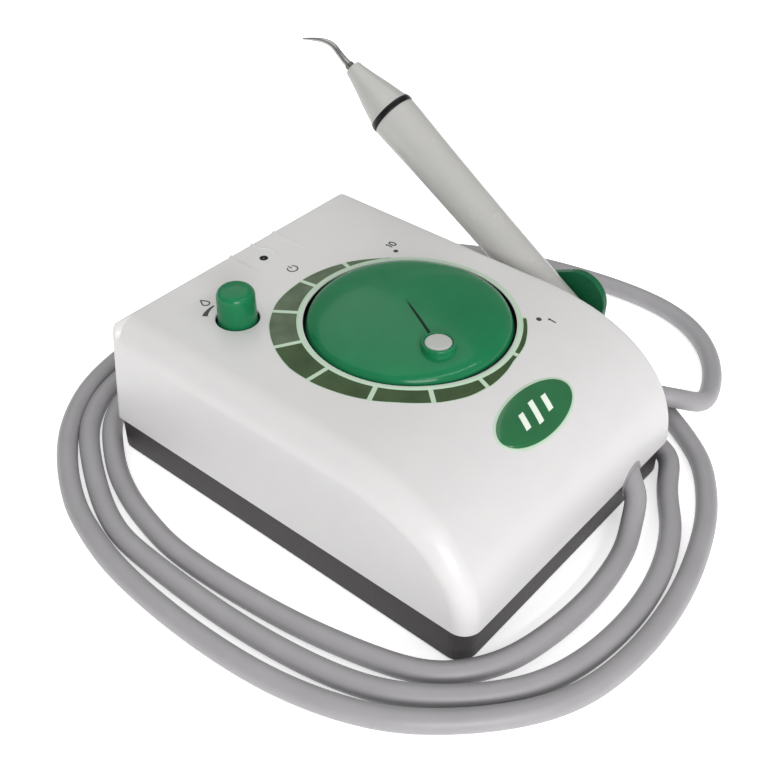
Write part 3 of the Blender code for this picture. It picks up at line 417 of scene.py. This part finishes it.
def flowing(points, per_span=6):
    """A smooth run of points through the given ones."""
    points = [Vector(point) for point in points]
    ends = [2 * points[0] - points[1]] + points + [2 * points[-1] - points[-2]]
    run = []
    for before, start, end, after in zip(ends, ends[1:], ends[2:], ends[3:]):
        for step in range(per_span):
            t = step / per_span
            run.append(0.5 * (2 * start + (end - before) * t
                              + (2 * before - 5 * start + 4 * end - after) * t ** 2
                              + (3 * start - before - 3 * end + after) * t ** 3))
    run.append(points[-1])
    return run


def slab(outline, low, high, matrix=Matrix()):
    """A bmesh of a flat outline of (x, y) standing between two heights."""
    bm = bmesh.new()
    bottom = [bm.verts.new((x, y, low)) for x, y in outline]
    top = [bm.verts.new((x, y, high)) for x, y in outline]
    bm.faces.new(bottom[::-1])
    bm.faces.new(top)
    bridge(bm, bottom, top)
    bmesh.ops.transform(bm, matrix=matrix, verts=bm.verts)
    return bm


def tube(path, radii, sides=24):
    """A bmesh of a round tube along a path, with one radius or one for each point."""
    path = [Vector(point) for point in path]
    if not isinstance(radii, (list, tuple)):
        radii = [radii] * len(path)
    bm = bmesh.new()
    rings = []
    side_way = None
    for index, point in enumerate(path):
        ahead = path[min(index + 1, len(path) - 1)] - path[max(index - 1, 0)]
        ahead.normalize()
        if side_way is None:
            side_way = ahead.orthogonal().normalized()
        side_way = (side_way - ahead * side_way.dot(ahead)).normalized()
        up_way = ahead.cross(side_way)
        rings.append([bm.verts.new(point + radii[index] * (math.cos(TURN * k / sides) * side_way
                                                           + math.sin(TURN * k / sides) * up_way))
                      for k in range(sides)])
    for first, second in zip(rings, rings[1:]):
        bridge(bm, first, second)
    bm.faces.new(rings[0][::-1])
    bm.faces.new(rings[-1])
    return bm


def carve(bm, tools, operation="DIFFERENCE"):
    """The bmesh with the tools cut out of it, or joined to it."""
    def temporary(source):
        bmesh.ops.recalc_face_normals(source, faces=source.faces)
        mesh = bpy.data.meshes.new("carving")
        source.to_mesh(mesh)
        source.free()
        item = bpy.data.objects.new("carving", mesh)
        bpy.context.collection.objects.link(item)
        return item

    target = temporary(bm)
    cutters = [temporary(tool) for tool in tools]
    for cutter in cutters:
        modifier = target.modifiers.new("carve", "BOOLEAN")
        modifier.operation = operation
        modifier.solver = "EXACT"
        modifier.object = cutter
    bpy.context.view_layer.update()
    shaped = target.evaluated_get(bpy.context.evaluated_depsgraph_get())
    result = bmesh.new()
    result.from_mesh(shaped.to_mesh())
    shaped.to_mesh_clear()
    for item in [target, *cutters]:
        mesh = item.data
        bpy.data.objects.remove(item)
        bpy.data.meshes.remove(mesh)
    return result


def bevel(bm, chosen, offset, segments):
    """Rounds the edges whose two ends pass the chosen test."""
    edges = [edge for edge in bm.edges if chosen(*(vert.co for vert in edge.verts))]
    bmesh.ops.bevel(bm, geom=edges, offset=offset, segments=segments, profile=0.5,
                    affect="EDGES", clamp_overlap=True)


# ---- The cord -----------------------------------------------------------------------------

def cord_path():
    """The cord's centreline in millimetres: a smooth curve guided by its route's points."""
    route = [GLAND + along * GLAND_AXIS for along in (-CORD_INSIDE, -5.5, -1.5, 2.6)]
    route += [Vector(spot if len(spot) == 3 else (*spot, CORD_Z)) for spot in CORD_ROUTE]
    route.append(RING + FORWARD * (PLUG_END - 0.6))
    ends = [2 * route[0] - route[1]] + route + [2 * route[-1] - route[-2]]
    path = []
    for before, start, end, after in zip(ends, ends[1:], ends[2:], ends[3:]):
        for step in range(CORD_STEPS):
            t = step / CORD_STEPS
            path.append(((1 - t) ** 3 * before + (3 * t ** 3 - 6 * t ** 2 + 4) * start
                         + (3 * t - 3 * t ** 3 + 3 * t ** 2 + 1) * end + t ** 3 * after) / 6)
    path.append(route[-1])
    return path


def add_cord(material):
    """The cord lies with the unit, and only its last stretch follows the handpiece.

    A blend weighs points by one direction, in which the far turns and the gland's end lie past
    its start too, so everything before the last stretch has its weight set back to 0.
    """
    path = cord_path()
    cord = add_piece("cord", tube(path, CORD_DIAMETER / 2, sides=CORD_SIDES), material, body=None)
    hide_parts("handpiece_cord")
    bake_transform(cord, "unit", "handpiece", start=row(path[-1 - CORD_REACH]), end=row(path[-5]))
    weights = cord.data.attributes["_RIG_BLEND"].data
    for index in range(CORD_SIDES * (len(path) - CORD_REACH)):
        weights[index].value = 0.0


# ---- The case and what is printed on it ---------------------------------------------------

def nose_profile(steps):
    """Points (y, z) of the nose from the flat top's edge down to the seam."""
    rise = TOP_Z - SEAM_Z
    points = []
    for step in range(steps + 1):
        angle = math.pi / 2 * step / steps
        points.append((NOSE_START_Y - NOSE_REACH * math.sin(angle) ** (2 / NOSE_POWER),
                       SEAM_Z + rise * max(math.cos(angle), 0.0) ** (2 / NOSE_POWER)))
    return points


def surface_z(y):
    """Height of the case's top over this y."""
    reach = min(max((NOSE_START_Y - y) / NOSE_REACH, 0.0), 1.0)
    return SEAM_Z + (TOP_Z - SEAM_Z) * (1 - reach ** NOSE_POWER) ** (1 / NOSE_POWER)


def case_section(side, angle):
    """Points round the case at this angle of a side's rounding, 0 at the side itself."""
    top_radius = LEFT_RADIUS if side < 0 else RIGHT_RADIUS
    nose_radius = min(top_radius, NOSE_CORNER)
    rise = TOP_Z - SEAM_Z

    def drawn_in(radius):
        return side * (HALF_WIDTH - radius * (1 - math.cos(angle))), radius * (1 - math.sin(angle))

    x, depth = drawn_in(RIGHT_RADIUS)
    x_top, depth_top = drawn_in(top_radius)
    top = TOP_Z - depth_top
    points = []
    round_back = [(1.6 * (1 - math.sin(t)), 1.6 * (1 - math.cos(t)))
                  for t in (math.pi / 2 * k / 5 for k in range(5))]
    for drop, back in [(top - SEAM_Z - 0.3, 0)] + round_back:
        lean = BACK_LEAN * (top - drop - SEAM_Z) / rise
        points.append((x, BACK_Y - lean - depth - back, top - drop))
    points.append((x_top, BACK_Y - BACK_LEAN - depth - 1.6, top))
    points.append((x_top, NOSE_START_Y, top))
    steps = 64
    for step in range(1, steps + 1):
        part = step / steps
        turn = math.pi / 2 * part
        along = math.sin(turn) ** (2 / NOSE_POWER)
        up = max(math.cos(turn), 0.0) ** (2 / NOSE_POWER)
        normal = Vector((-along ** (NOSE_POWER - 1) / NOSE_REACH,
                         up ** (NOSE_POWER - 1) / rise)).normalized()
        x, depth = drawn_in(top_radius + (nose_radius - top_radius) * part)
        z = max(SEAM_Z + rise * up - depth * normal.y, SEAM_Z + 0.3 + 0.02 * (steps - step))
        points.append((x, NOSE_START_Y - NOSE_REACH * along - depth * normal.x, z))
    return points


def case_form():
    """The case's outside, lofted from wall to wall through its sections."""
    sections = []
    for side, steps in ((-1, 16), (1, 9)):
        angles = [math.pi / 2 * step / steps for step in range(steps + 1)]
        sections += [case_section(side, angle) for angle in angles[::-side]]
    bm = bmesh.new()
    rows = [[bm.verts.new(point) for point in section] for section in sections]
    for first, second in zip(rows, rows[1:]):
        bridge(bm, first, second)
    bm.faces.new(rows[0][::-1])
    bm.faces.new(rows[-1])
    return bm


def add_case(material):
    """The case with its wells, its lamp and cord holes, and the recessed panel at the back."""
    cuts = []
    well = [(0, DIAL_WELL_FLOOR), (DIAL_WELL, DIAL_WELL_FLOOR), (DIAL_WELL, 49.2),
            (DIAL_WELL, 60), (0, 60)]
    cuts.append(turned(well, upright(*DIAL), steps=128))
    well = [(0, KNOB_WELL_FLOOR), (KNOB_WELL, KNOB_WELL_FLOOR), (KNOB_WELL, TOP_Z - 0.3),
            (KNOB_WELL + 0.2, TOP_Z + 0.02), (KNOB_WELL + 0.2, 60), (0, 60)]
    cuts.append(turned(well, upright(*KNOB), steps=72))
    cuts.append(turned([(0, 45), (1.2, 45), (1.2, 60), (0, 60)], upright(*LAMP), steps=32))
    back = Matrix.Translation((0, 67.5, 29)) @ Matrix.Rotation(-math.pi / 2, 4, "X")
    pocket = [(-44, -11), (44, -11), (44, 11), (-44, 11)]
    bm = slab(pocket, 0, 12, back)
    bevel(bm, lambda a, b: abs(a.y - b.y) > 5, 2.0, 4)
    cuts.append(bm)
    for x, radius in ((-2, 4.5), (15, 6.0), (34, 4.0)):
        cuts.append(turned([(0, -4), (radius, -4), (radius, 4), (0, 4)],
                           back @ upright(x, 0), steps=48))
    cuts.append(slab([(-37.7, -7.1), (-18.3, -7.1), (-18.3, 7.1), (-37.7, 7.1)], -4, 4, back))
    cuts.append(turned([(0, -9), (4.15, -9), (4.15, 9), (0, 9)],
                       frame_matrix(GLAND, GLAND_AXIS), steps=48))
    outer = case_form()
    inner = slab([(-51.8, -66), (51.8, -66), (51.8, 63), (-51.8, 63)], 0, 22)
    bm = carve(outer, [inner, *cuts])
    case = add_piece("case_cover", bm, material, sharp=24)
    weighted = case.modifiers.new("even shading", "WEIGHTED_NORMAL")
    weighted.keep_sharp = True
    weighted.weight = 100
    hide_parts("upper_case")


def patch(name, rings, material, lift=0.06, thick=0.1):
    """A thin printed patch that follows the case: rows of (x, y) points joined into a sheet."""
    bm = bmesh.new()
    close_sheets(bm, *([[bm.verts.new((x, y, surface_z(y) + height)) for x, y in ring]
                        for ring in rings] for height in (lift - thick, lift)))
    return add_piece(name, bm, material)


# Outer radius of the power scale at angles, in degrees, from +X
SCALE_EDGE = ((49, 34.9), (53, 35.1), (60, 35.9), (79, 38.3), (104, 40.9), (119, 42.6),
              (135, 43.4), (165, 43.4), (186, 42.0), (201, 41.3), (213, 40.6), (231, 40.4),
              (245, 39.7), (265, 37.6), (278, 36.3), (290, 36.6), (313, 36.1))
SCALE_DIVISIONS = (49, 74.5, 99.5, 125, 150, 175.5, 203, 229, 255, 282, 312)
SCALE_INNER = 35.0


def scale_radius(angle):
    for (first, low), (second, high) in zip(SCALE_EDGE, SCALE_EDGE[1:]):
        if angle <= second:
            return low + (high - low) * (angle - first) / (second - first)
    return SCALE_EDGE[-1][1]


def add_scale(cell_finish, grey_cell_finish, pale_finish):
    """The ring round the dial and the power scale's ten cells, wider towards full power."""
    def spot(radius, angle):
        turn = math.radians(angle)
        return (DIAL.x + radius * math.cos(turn), DIAL.y + radius * math.sin(turn))

    first_angle, last_angle = SCALE_DIVISIONS[0], SCALE_DIVISIONS[-1]
    angles = [first_angle + (last_angle - first_angle) * k / 96 for k in range(97)]
    backing = [[spot(SCALE_INNER - 0.2 + (scale_radius(a) + 0.25 - SCALE_INNER + 0.2) * r / 4, a)
                for a in angles] for r in range(5)]
    patch("scale_backing", backing, pale_finish, lift=0.03)
    gap = 0.75
    for number, (start, end) in enumerate(zip(SCALE_DIVISIONS, SCALE_DIVISIONS[1:])):
        rings = []
        for r in range(5):
            line = []
            for k in range(13):
                middle = start + (end - start) * k / 12
                radius = SCALE_INNER + 0.1 + (scale_radius(middle) - SCALE_INNER - 0.1) * r / 4
                trim = math.degrees(gap / radius)
                angle = (start + trim) + (end - start - 2 * trim) * k / 12
                line.append(spot(radius, angle))
            rings.append(line)
        patch(f"scale_cell_{number + 1}", rings, grey_cell_finish if number < 4 else cell_finish,
              lift=0.07)
    rim = []
    bm = bmesh.new()
    for radius, lift in ((33.25, -0.25), (33.6, 0.12), (34.2, 0.16), (34.7, 0.12), (35.05, -0.1),
                         (34.2, -0.3)):
        ring = [spot(radius, 360 * k / 128) for k in range(128)]
        rim.append([bm.verts.new((x, y, surface_z(y) + lift)) for x, y in ring])
    for first, second in zip(rim, rim[1:] + rim[:1]):
        bridge(bm, first, second)
    add_piece("dial_rim", bm, pale_finish)


def stroke(points, width):
    """The outline rows of a printed line of even width through points."""
    points = [Vector(point) for point in points]
    left, right = [], []
    for index, point in enumerate(points):
        ahead = points[min(index + 1, len(points) - 1)] - points[max(index - 1, 0)]
        side = Vector((-ahead.y, ahead.x)).normalized() * width / 2
        left.append(tuple(point + side))
        right.append(tuple(point - side))
    return [left, right]


def arc(x, y, radius, start, end, steps):
    """Points of an arc between two angles in degrees."""
    return [(x + radius * math.cos(math.radians(start + (end - start) * k / steps)),
             y + radius * math.sin(math.radians(start + (end - start) * k / steps)))
            for k in range(steps + 1)]


def disc_rings(x, y, radius):
    """Rows of points that fill a disc, for a patch."""
    return [[(x + radius * r / 3 * math.cos(TURN * k / 24),
              y + radius * r / 3 * math.sin(TURN * k / 24)) for k in range(25)]
            for r in (0.02, 1, 2, 3)]


def add_marks(ink):
    """Generic marks: dots and numbers at the scale's ends, a power sign, a drop, an arrow."""
    for name, x, y in (("dot_low", 34.3, -31.9), ("dot_high", 35.1, 26.5)):
        patch(name, disc_rings(x, y, 0.85), ink)

    def placed(points, x, y, size):
        return [(x + size * px, y + size * py) for px, py in points]

    one = [(-0.22, 0.3), (0.0, 0.5), (0.0, -0.5)]
    nought = [(0.28 * math.cos(TURN * k / 24), 0.5 * math.sin(TURN * k / 24)) for k in range(25)]
    for name, shape, x, y in (("number_low_1", one, 36.8, -35.2),
                              ("number_high_1", one, 36.2, 30.3),
                              ("number_high_2", nought, 37.9, 30.3)):
        patch(name, stroke(placed(shape, x, y, 2.7), 0.5), ink)

    patch("power_sign_ring", stroke(arc(5.0, 45.6, 1.7, 125, 415, 24), 0.45), ink)
    patch("power_sign_bar", stroke([(5.0, 45.9), (5.0, 46.8), (5.0, 47.7)], 0.45), ink)

    drop = [(0, 1.0), (0.28, 0.5), (0.52, 0.08), (0.6, -0.28), (0.46, -0.62), (0.18, -0.8),
            (-0.18, -0.8), (-0.46, -0.62), (-0.6, -0.28), (-0.52, 0.08), (-0.28, 0.5), (0, 1.0)]
    patch("water_sign", stroke(flowing(placed(drop, -27.0, 53.2, 2.0), 3), 0.45), ink)
    wedge = arc(KNOB.x, KNOB.y, 10.3, 92, 126, 12)
    left, right = [], []
    for k, (x, y) in enumerate(wedge):
        way = Vector((x - KNOB.x, y - KNOB.y)).normalized()
        half = 0.25 + 0.65 * k / 12
        left.append((x + way.x * half, y + way.y * half))
        right.append((x - way.x * half, y - way.y * half))
    patch("water_arrow", [left, right], ink)


def add_ridges(material):
    """Three fine ridges run from the back edge towards the dial, beside the lamp."""
    runs = (
        [(-2.9, 66.6), (-2.9, 62.0), (-3.2, 57.0), (-3.4, 52.0), (-3.8, 46.6)],
        [(6.7, 66.6), (7.0, 62.4), (8.4, 60.0), (8.7, 57.0), (7.6, 54.2), (6.4, 50.2)],
        [(17.2, 66.6), (16.7, 60.0), (16.9, 53.0), (16.1, 47.0)],
    )
    for number, run in enumerate(runs):
        path = [Vector((p.x, p.y, TOP_Z - 0.25)) for p in flowing(run, 6)]
        count = len(path) - 1
        radii = [0.12 + 0.5 * math.sin(math.pi * min(k / count * 0.5 + 0.45, 1.0))
                 for k in range(count + 1)]
        add_piece(f"case_ridge_{number + 1}", tube(path, radii, sides=12), material)


def badge_point(x, along, height):
    """A point over the nose at this x and distance along its curve, and this far off it."""
    best = BADGE_CURVE[-1]
    for first, second in zip(BADGE_CURVE, BADGE_CURVE[1:]):
        if first[0] <= along <= second[0]:
            t = (along - first[0]) / (second[0] - first[0])
            best = tuple(p + (q - p) * t for p, q in zip(first, second))
            break
    y, z, ny, nz = best[1:]
    return Vector((x, y + ny * height, z + nz * height))


def nose_curve():
    """Rows of (distance, y, z, normal y, normal z) down the nose."""
    points = [Vector(point) for point in nose_profile(120)]
    rows, distance = [], 0.0
    for index, point in enumerate(points):
        ahead = points[min(index + 1, len(points) - 1)] - points[max(index - 1, 0)]
        ahead.normalize()
        if index:
            distance += (point - points[index - 1]).length
        rows.append((distance, point.x, point.y, ahead.y, -ahead.x))
    return rows


BADGE_CURVE = nose_curve()
BADGE_X = 2.3
BADGE_SIZE = (16.9, 7.6)


def badge_middle():
    """Distance along the nose's curve to the badge's middle."""
    return min(BADGE_CURVE, key=lambda item: abs(item[1] + 53.1))[0]


def add_badge(green, pale, white):
    """The domed oval badge on the nose, with a plain motif of three slanted bars."""
    middle = badge_middle()

    def oval(name, sizes, heights, material):
        bm = bmesh.new()
        rings = []
        steps = 96
        for (a, b), height in zip(sizes, heights):
            rings.append([bm.verts.new(badge_point(BADGE_X + a * math.cos(TURN * k / steps),
                                                   middle - b * math.sin(TURN * k / steps),
                                                   height)) for k in range(steps)])
        for first, second in zip(rings, rings[1:]):
            bridge(bm, first, second)
        bm.faces.new(rings[0])
        bm.faces.new(rings[-1][::-1])
        add_piece(name, bm, material, sharp=40)

    a, b = BADGE_SIZE
    oval("badge_rim", [(a + 0.8, b + 0.8), (a + 0.8, b + 0.8), (a + 0.5, b + 0.5), (a - 1, b - 1)],
         [-0.3, 0.05, 0.15, 0.15], pale)
    sizes, heights = [(a, b)], [-0.2]
    for k in range(13):
        turn = math.pi / 2 * k / 12
        shrink = 1 - 0.98 * (1 - math.cos(turn))
        sizes.append((a * shrink, b * shrink))
        heights.append(0.2 + 0.5 * math.sin(turn))
    oval("badge", sizes, heights, green)
    slant, width = 0.35, 1.1
    for number, (x, half) in enumerate(((-5.6, 2.4), (0.0, 3.4), (5.6, 2.4))):
        bm = bmesh.new()
        sheets = []
        for lift in (0.2, 0.78):
            sheets.append([[bm.verts.new(badge_point(BADGE_X + x + slant * v + side * width,
                                                     middle - v, lift)) for side in (-1, 0, 1)]
                           for v in (half * (k / 4 - 1) for k in range(9))])
        close_sheets(bm, *sheets)
        add_piece(f"badge_bar_{number + 1}", bm, white)


# ---- Controls -----------------------------------------------------------------------------

def add_dial(green, pointer_finish, shade_and_line_black):
    """The shallow-domed dial with its grooved pointer line and the boss that holds the inlay."""
    skirt = DIAL_WELL_FLOOR + 0.8

    def along_pointer(distances, lift):
        return [Vector((DIAL.x + math.cos(DIAL_ANGLE) * d, DIAL.y + math.sin(DIAL_ANGLE) * d,
                        DIAL_TOP + lift - 0.0019 * d * d)) for d in distances]

    dome = flowing([(0.0, DIAL_TOP), (8, DIAL_TOP - 0.1), (16, DIAL_TOP - 0.5),
                    (23, DIAL_TOP - 1.2), (27.5, DIAL_TOP - 2.1), (30, DIAL_TOP - 3.1),
                    (31.5, DIAL_TOP - 4.4), (32.25, DIAL_TOP - 6.2)], 5)
    profile = [tuple(point) for point in dome[:-1]]
    profile[0] = (0, DIAL_TOP)
    profile += [(32.3, DIAL_TOP - 6.2), (32.3, skirt), (30.4, skirt), (30.0, 51.4), (27, 52.8),
                (20, 53.7), (6.5, 54.2), (6.5, 50.4), (3.2, 50.4), (3.2, 54.6), (0, 54.6)]
    bm = turned(profile, upright(*DIAL), steps=144)
    groove = along_pointer((-3.2, -1, 2, 5, 8, 11, 14, 16.4), 0.05)
    bm = carve(bm, [tube(groove, [0.22, 0.36, 0.44, 0.48, 0.5, 0.52, 0.54, 0.54], sides=12)])
    dial = add_piece("dial_cap", bm, green, body="dial", sharp=40)
    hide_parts("power_dial")
    spot = upright(DIAL.x + POINTER.x, DIAL.y + POINTER.y)
    boss = rounded([(0, 57.4), (4.35, 57.4), (4.45, 57.95), (4.8, 58.05), (5.25, 57.6),
                    (5.3, 56.4), (5.45, 55.6), (5.45, 54.6), (0, 54.6)], 0.4)
    add_piece("dial_boss", turned(boss, spot, steps=72), green, body="dial", sharp=50)
    inlay = rounded([(0, 58.15), (3.4, 58.1), (4.15, 57.8), (4.15, 57.0), (0, 57.0)], 0.4)
    cap = add_piece("dial_inlay", turned(inlay, spot, steps=72), pointer_finish, body="dial")
    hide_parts("dial_pointer")
    line = along_pointer((-3, 0, 3, 6, 9, 12, 15, 16.4), -0.38)
    add_piece("dial_line", tube(line, [0.12, 0.28, 0.34, 0.36, 0.38, 0.4, 0.4, 0.4], sides=12),
              shade_and_line_black, body="dial")
    # Painted shade: a black sheet in the dial's well darkens the gap round the dial.
    add_well_shade("dial_well_shade", DIAL, DIAL_WELL, DIAL_WELL_FLOOR, shade_and_line_black)


def add_knob(green, shade_and_line_black):
    """A knob with a domed crown, its lower side pressed into fine upright ribs."""
    radius, crown, foot = 6.2, 2.5, 50.3
    profile = [(0, foot), (radius, foot), (radius + 0.08, foot + 0.2)]
    for k in range(9):
        profile.append((radius - 0.02 * k, foot + 0.5 + 1.1 * k))
    for k in range(1, 11):
        turn = math.pi / 2 * k / 10
        profile.append((radius - 0.16 - crown + crown * math.cos(turn) ** 0.9,
                        KNOB_TOP - crown + 0.3 + crown * math.sin(turn)))
    profile += [(2.4, KNOB_TOP + 0.5), (1.2, KNOB_TOP + 0.58), (0, KNOB_TOP + 0.6)]

    def ribs(angle, wide, height):
        fade = min(max((57.5 - height) / 5, 0), 1) * (wide > 5 and height > foot + 0.1)
        return -0.13 * fade * max(0, math.cos(angle * 30)) ** 2

    knob = add_piece("water_knob_cap", turned(profile, upright(*KNOB), steps=180, wave=ribs),
                     green, body="water_control", sharp=50)
    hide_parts("water_knob")
    # Painted shade: a black sheet in the knob's well darkens the gap round the knob.
    add_well_shade("knob_well_shade", KNOB, KNOB_WELL, KNOB_WELL_FLOOR, shade_and_line_black)


def add_well_shade(name, spot, radius, floor, material):
    """Painted shade in a well: a black sheet over its wall and floor, standing in for the shadow in the gap
    round the control.
    """
    profile = [(radius, TOP_Z - 0.4), (radius - 0.12, TOP_Z - 0.4),
               (radius - 0.12, floor + 0.12), (4.2, floor + 0.12), (4.2, floor), (radius, floor)]
    add_piece(name, turned(profile, upright(*spot), ring=True), material)


def add_lamp_ring(black):
    """The thin black ring round the power lamp."""
    ring = rounded([(0.65, 47), (0.65, TOP_Z - 0.05), (0.8, TOP_Z + 0.18),
                    (1.2, TOP_Z + 0.2), (1.45, TOP_Z + 0.08), (1.45, TOP_Z + 0.02),
                    (1.0, TOP_Z + 0.02), (1.0, 47)], 0.08)
    piece = add_piece("lamp_ring", turned(ring, upright(*LAMP), steps=48, ring=True), black)
    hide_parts("lamp_bezel")


def add_gland(rubber):
    """The sleeve that the cord comes out of, trimmed a little outside the nose."""
    sleeve = [(3.5, 8), (4.15, 8), (4.15, -8), (3.5, -8)]
    bm = turned(sleeve, frame_matrix(GLAND, GLAND_AXIS), steps=48, ring=True)
    trim = slab([(0, -100), (60, -100), (60, GLAND.y - 0.5), (0, GLAND.y - 0.5)], -10, 40)
    piece = add_piece("gland_sleeve", carve(bm, [trim]), rubber)
    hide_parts("cord_gland")


# ---- Handpiece ----------------------------------------------------------------------------

def add_handpiece(shell, black, steel, cord_finish):
    """The tapered shell, black ring, nose cone, plug and ribbed boot, turned about one axis."""
    body = [tuple(point) for point in flowing(
        [(8.3, -1.3), (8.25, -6), (7.85, -18), (7.4, -38), (7.1, -58), (6.95, -80),
         (6.95, -98.8)], 5)]
    body = [(7.7, -1.0), (8.15, -1.0)] + body + [(6.8, -99.6), (6.4, -100), (5.7, -100),
                                                 (5.7, -1.0)]
    piece = add_piece("handpiece_shell", turned(body, on_handpiece(), ring=True), shell,
                      body="handpiece", sharp=40)
    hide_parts("handpiece_body")
    ring = rounded([(5.8, 0.95), (8.3, 0.95), (8.5, 0.6), (8.5, -0.6), (8.3, -0.95),
                    (5.8, -0.95)], 0.2)
    piece = add_piece("handpiece_band", turned(ring, on_handpiece(), ring=True), black,
                      body="handpiece")
    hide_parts("handpiece_ring")
    nose = [(2.2, 20.5), (2.2, 21.3), (2.45, 21.6), (2.85, 21.4), (3.12, 20.7), (3.25, 19.8)]
    nose += [tuple(point) for point in flowing([(3.32, 19.4), (4.0, 16.6), (4.95, 12.9),
                                                (6.05, 9.0), (7.0, 5.2), (7.55, 2.9)], 5)]
    nose += [(7.8, 2.2), (8.1, 1.7), (8.2, 1.2), (5.7, 1.2), (3.6, 12), (2.3, 17)]
    piece = add_piece("handpiece_nose", turned(nose, on_handpiece(), ring=True), shell,
                      body="handpiece", sharp=40)
    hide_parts("nose_cone")

    boot = rounded([(0, -104.3), (5.3, -104.3), (5.4, -106), (4.9, -107), (4.75, -108.2),
                    (5.0, -108.6), (4.95, -109.6), (4.6, -110), (4.5, -111.2), (4.75, -111.6),
                    (4.7, -112.6), (4.35, -113), (4.25, -114.4), (4.1, -116), (0, -116)], 0.3)
    piece = add_piece("cord_boot", turned(boot, on_handpiece(), steps=64), cord_finish,
                      body="handpiece", sharp=60)
    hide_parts("plug_boot")
    plug = rounded([(0, -90), (5.2, -90), (5.3, -91), (5.3, -100.3), (6.4, -100.3),
                    (6.65, -100.7), (6.65, -103), (6.2, -104), (0, -104)], 0.3)
    piece = add_piece("cord_plug", turned(plug, on_handpiece(), steps=64), cord_finish,
                      body="handpiece")
    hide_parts("handpiece_plug")
    add_tip(steel)


def add_tip(steel):
    """The curved tip: a round shank with a flat spanner collar, thinning to a fine point."""
    def spot(along, above):
        return RING + FORWARD * along + ABOVE * above

    route = [(19.3, 0), (22.4, -0.4), (25.3, -0.6), (28.0, -0.45), (30.9, -0.2), (33.0, -0.45),
             (35.0, -1.35), (37.3, -3.0), (40.7, -6.2), (43.6, -9.2)]
    thickness = [1.3, 1.3, 1.2, 1.1, 1.05, 1.0, 0.9, 0.75, 0.5, 0.3]
    path = flowing([(*pair, radius) for pair, radius in zip(route, thickness)], 6)
    points = [spot(p.x, p.y) for p in path]
    piece = add_piece("tip_shank", tube(points, [p.z for p in path], sides=32), steel,
                      body="handpiece", sharp=60)
    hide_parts("scaler_tip")
    collar = rounded([(0, 20.6), (1.55, 20.6), (1.6, 20.8), (1.6, 23.3), (1.45, 23.6),
                      (1.2, 23.7), (0, 23.7)], 0.12)

    def flats(angle, radius, height):
        return -0.2 * max(0, math.cos(2 * angle)) ** 6 * (radius > 1.4)

    lean = Matrix.Translation(-0.45 * ABOVE)
    add_piece("tip_collar", turned(collar, lean @ on_handpiece(), steps=64, wave=flats),
              DARK_STEEL, body="handpiece")


# ---- Cradle -------------------------------------------------------------------------------

def add_cradle(green):
    """The trough on the right wall with its tall, round outer ear."""
    inner, outer, lift, length = 7.6, 10.2, 0.3, 25.6
    wall_side = -(RING.x - HALF_WIDTH - 0.3)
    section = [(-inner, 2.5), (wall_side, 2.5), (wall_side, lift - outer), (0, lift - outer)]
    for step in range(1, 29):
        angle = math.radians(-90 + 90 * step / 28)
        section.append((outer * math.cos(angle), lift + outer * math.sin(angle)))
    section += [(outer, 13), (inner, 13)]
    for step in range(57):
        angle = math.radians(-180 * step / 56)
        section.append((inner * math.cos(angle), lift + inner * math.sin(angle)))
    stand = Matrix.Translation(RING + FORWARD * CRADLE_MIDDLE)
    axes = Matrix(((1, 0, 0), ABOVE, -FORWARD)).transposed().to_4x4()
    trough = slab(section, -length / 2, length / 2, stand @ axes)
    outline = [(-12.5, -20), (12.5, -20), (12.5, 0)]
    for step in range(41):
        angle = math.radians(30 + 120 * step / 40)
        outline.append((9.7 * math.cos(angle) - 0.6, 9.7 * math.sin(angle) + 2.4))
    outline.append((-12.2, 2.2))
    axes = Matrix((FORWARD, ABOVE, (1, 0, 0))).transposed().to_4x4()
    form = slab(outline, -30, 30, stand @ axes)
    bm = carve(trough, [form], "INTERSECT")
    piece = add_piece("cradle_trough", bm, green, sharp=40)
    soft = piece.modifiers.new("soft edges", "BEVEL")
    soft.width = 0.5 * MM
    soft.segments = 3
    soft.limit_method = "ANGLE"
    soft.angle_limit = math.radians(50)
    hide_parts("handpiece_cradle")


# ---- Build --------------------------------------------------------------------------------

FINISHES = make_finishes()
DARK_STEEL = finish("collar_steel", (0.16, 0.16, 0.155), 0.35, metallic=1.0, shade=0.15,
                    shade_size=600, grain=0.4)
PALE_PRINT = finish("pale_print", (0.45, 0.59, 0.45), 0.35, shade=0.03, grain=0.1)
CELL_PRINT = finish("cell_print", (0.046, 0.080, 0.034), 0.38, specular=0.12, shade=0.22,
                    shade_size=120, grain=0.1)
# A greyer, paler print for the four cells at the back of the scale.
GREY_CELL_PRINT = finish("grey_cell_print", (0.090, 0.125, 0.076), 0.38, specular=0.2, shade=0.25,
                     shade_size=150, grain=0.1)
INK = finish("print_ink", (0.035, 0.035, 0.036), 0.5, shade=0.3, shade_size=1500, grain=0.2)
MOTIF = finish("motif_white", (0.72, 0.80, 0.70), 0.4, shade=0.04, grain=0.1)
BADGE_GREEN = finish("badge_green", (0.009, 0.125, 0.038), 0.2, coat=0.5, shade=0.12,
                     shade_size=60, grain=0.03)

add_camera()
add_cord(FINISHES["cord_rubber"])
add_studio()
add_case(FINISHES["case_plastic"])
add_scale(CELL_PRINT, GREY_CELL_PRINT, PALE_PRINT)
add_marks(INK)
add_ridges(FINISHES["case_plastic"])
add_badge(BADGE_GREEN, PALE_PRINT, MOTIF)
add_dial(FINISHES["green_plastic"], FINISHES["pointer_plastic"], FINISHES["black_plastic"])
add_knob(FINISHES["green_plastic"], FINISHES["black_plastic"])
add_lamp_ring(FINISHES["black_plastic"])
add_gland(FINISHES["cord_rubber"])
add_handpiece(FINISHES["handpiece_plastic"], FINISHES["black_plastic"], FINISHES["steel"],
              FINISHES["cord_rubber"])
add_cradle(FINISHES["dark_green_plastic"])

for subpart in frame["record"]["subparts"]:
    node = frame["nodes"][subpart["node"]]
    for material_slot in node.material_slots:
        material_slot.material = FINISHES[subpart["material_slot"]]

bpy.context.view_layer.update()
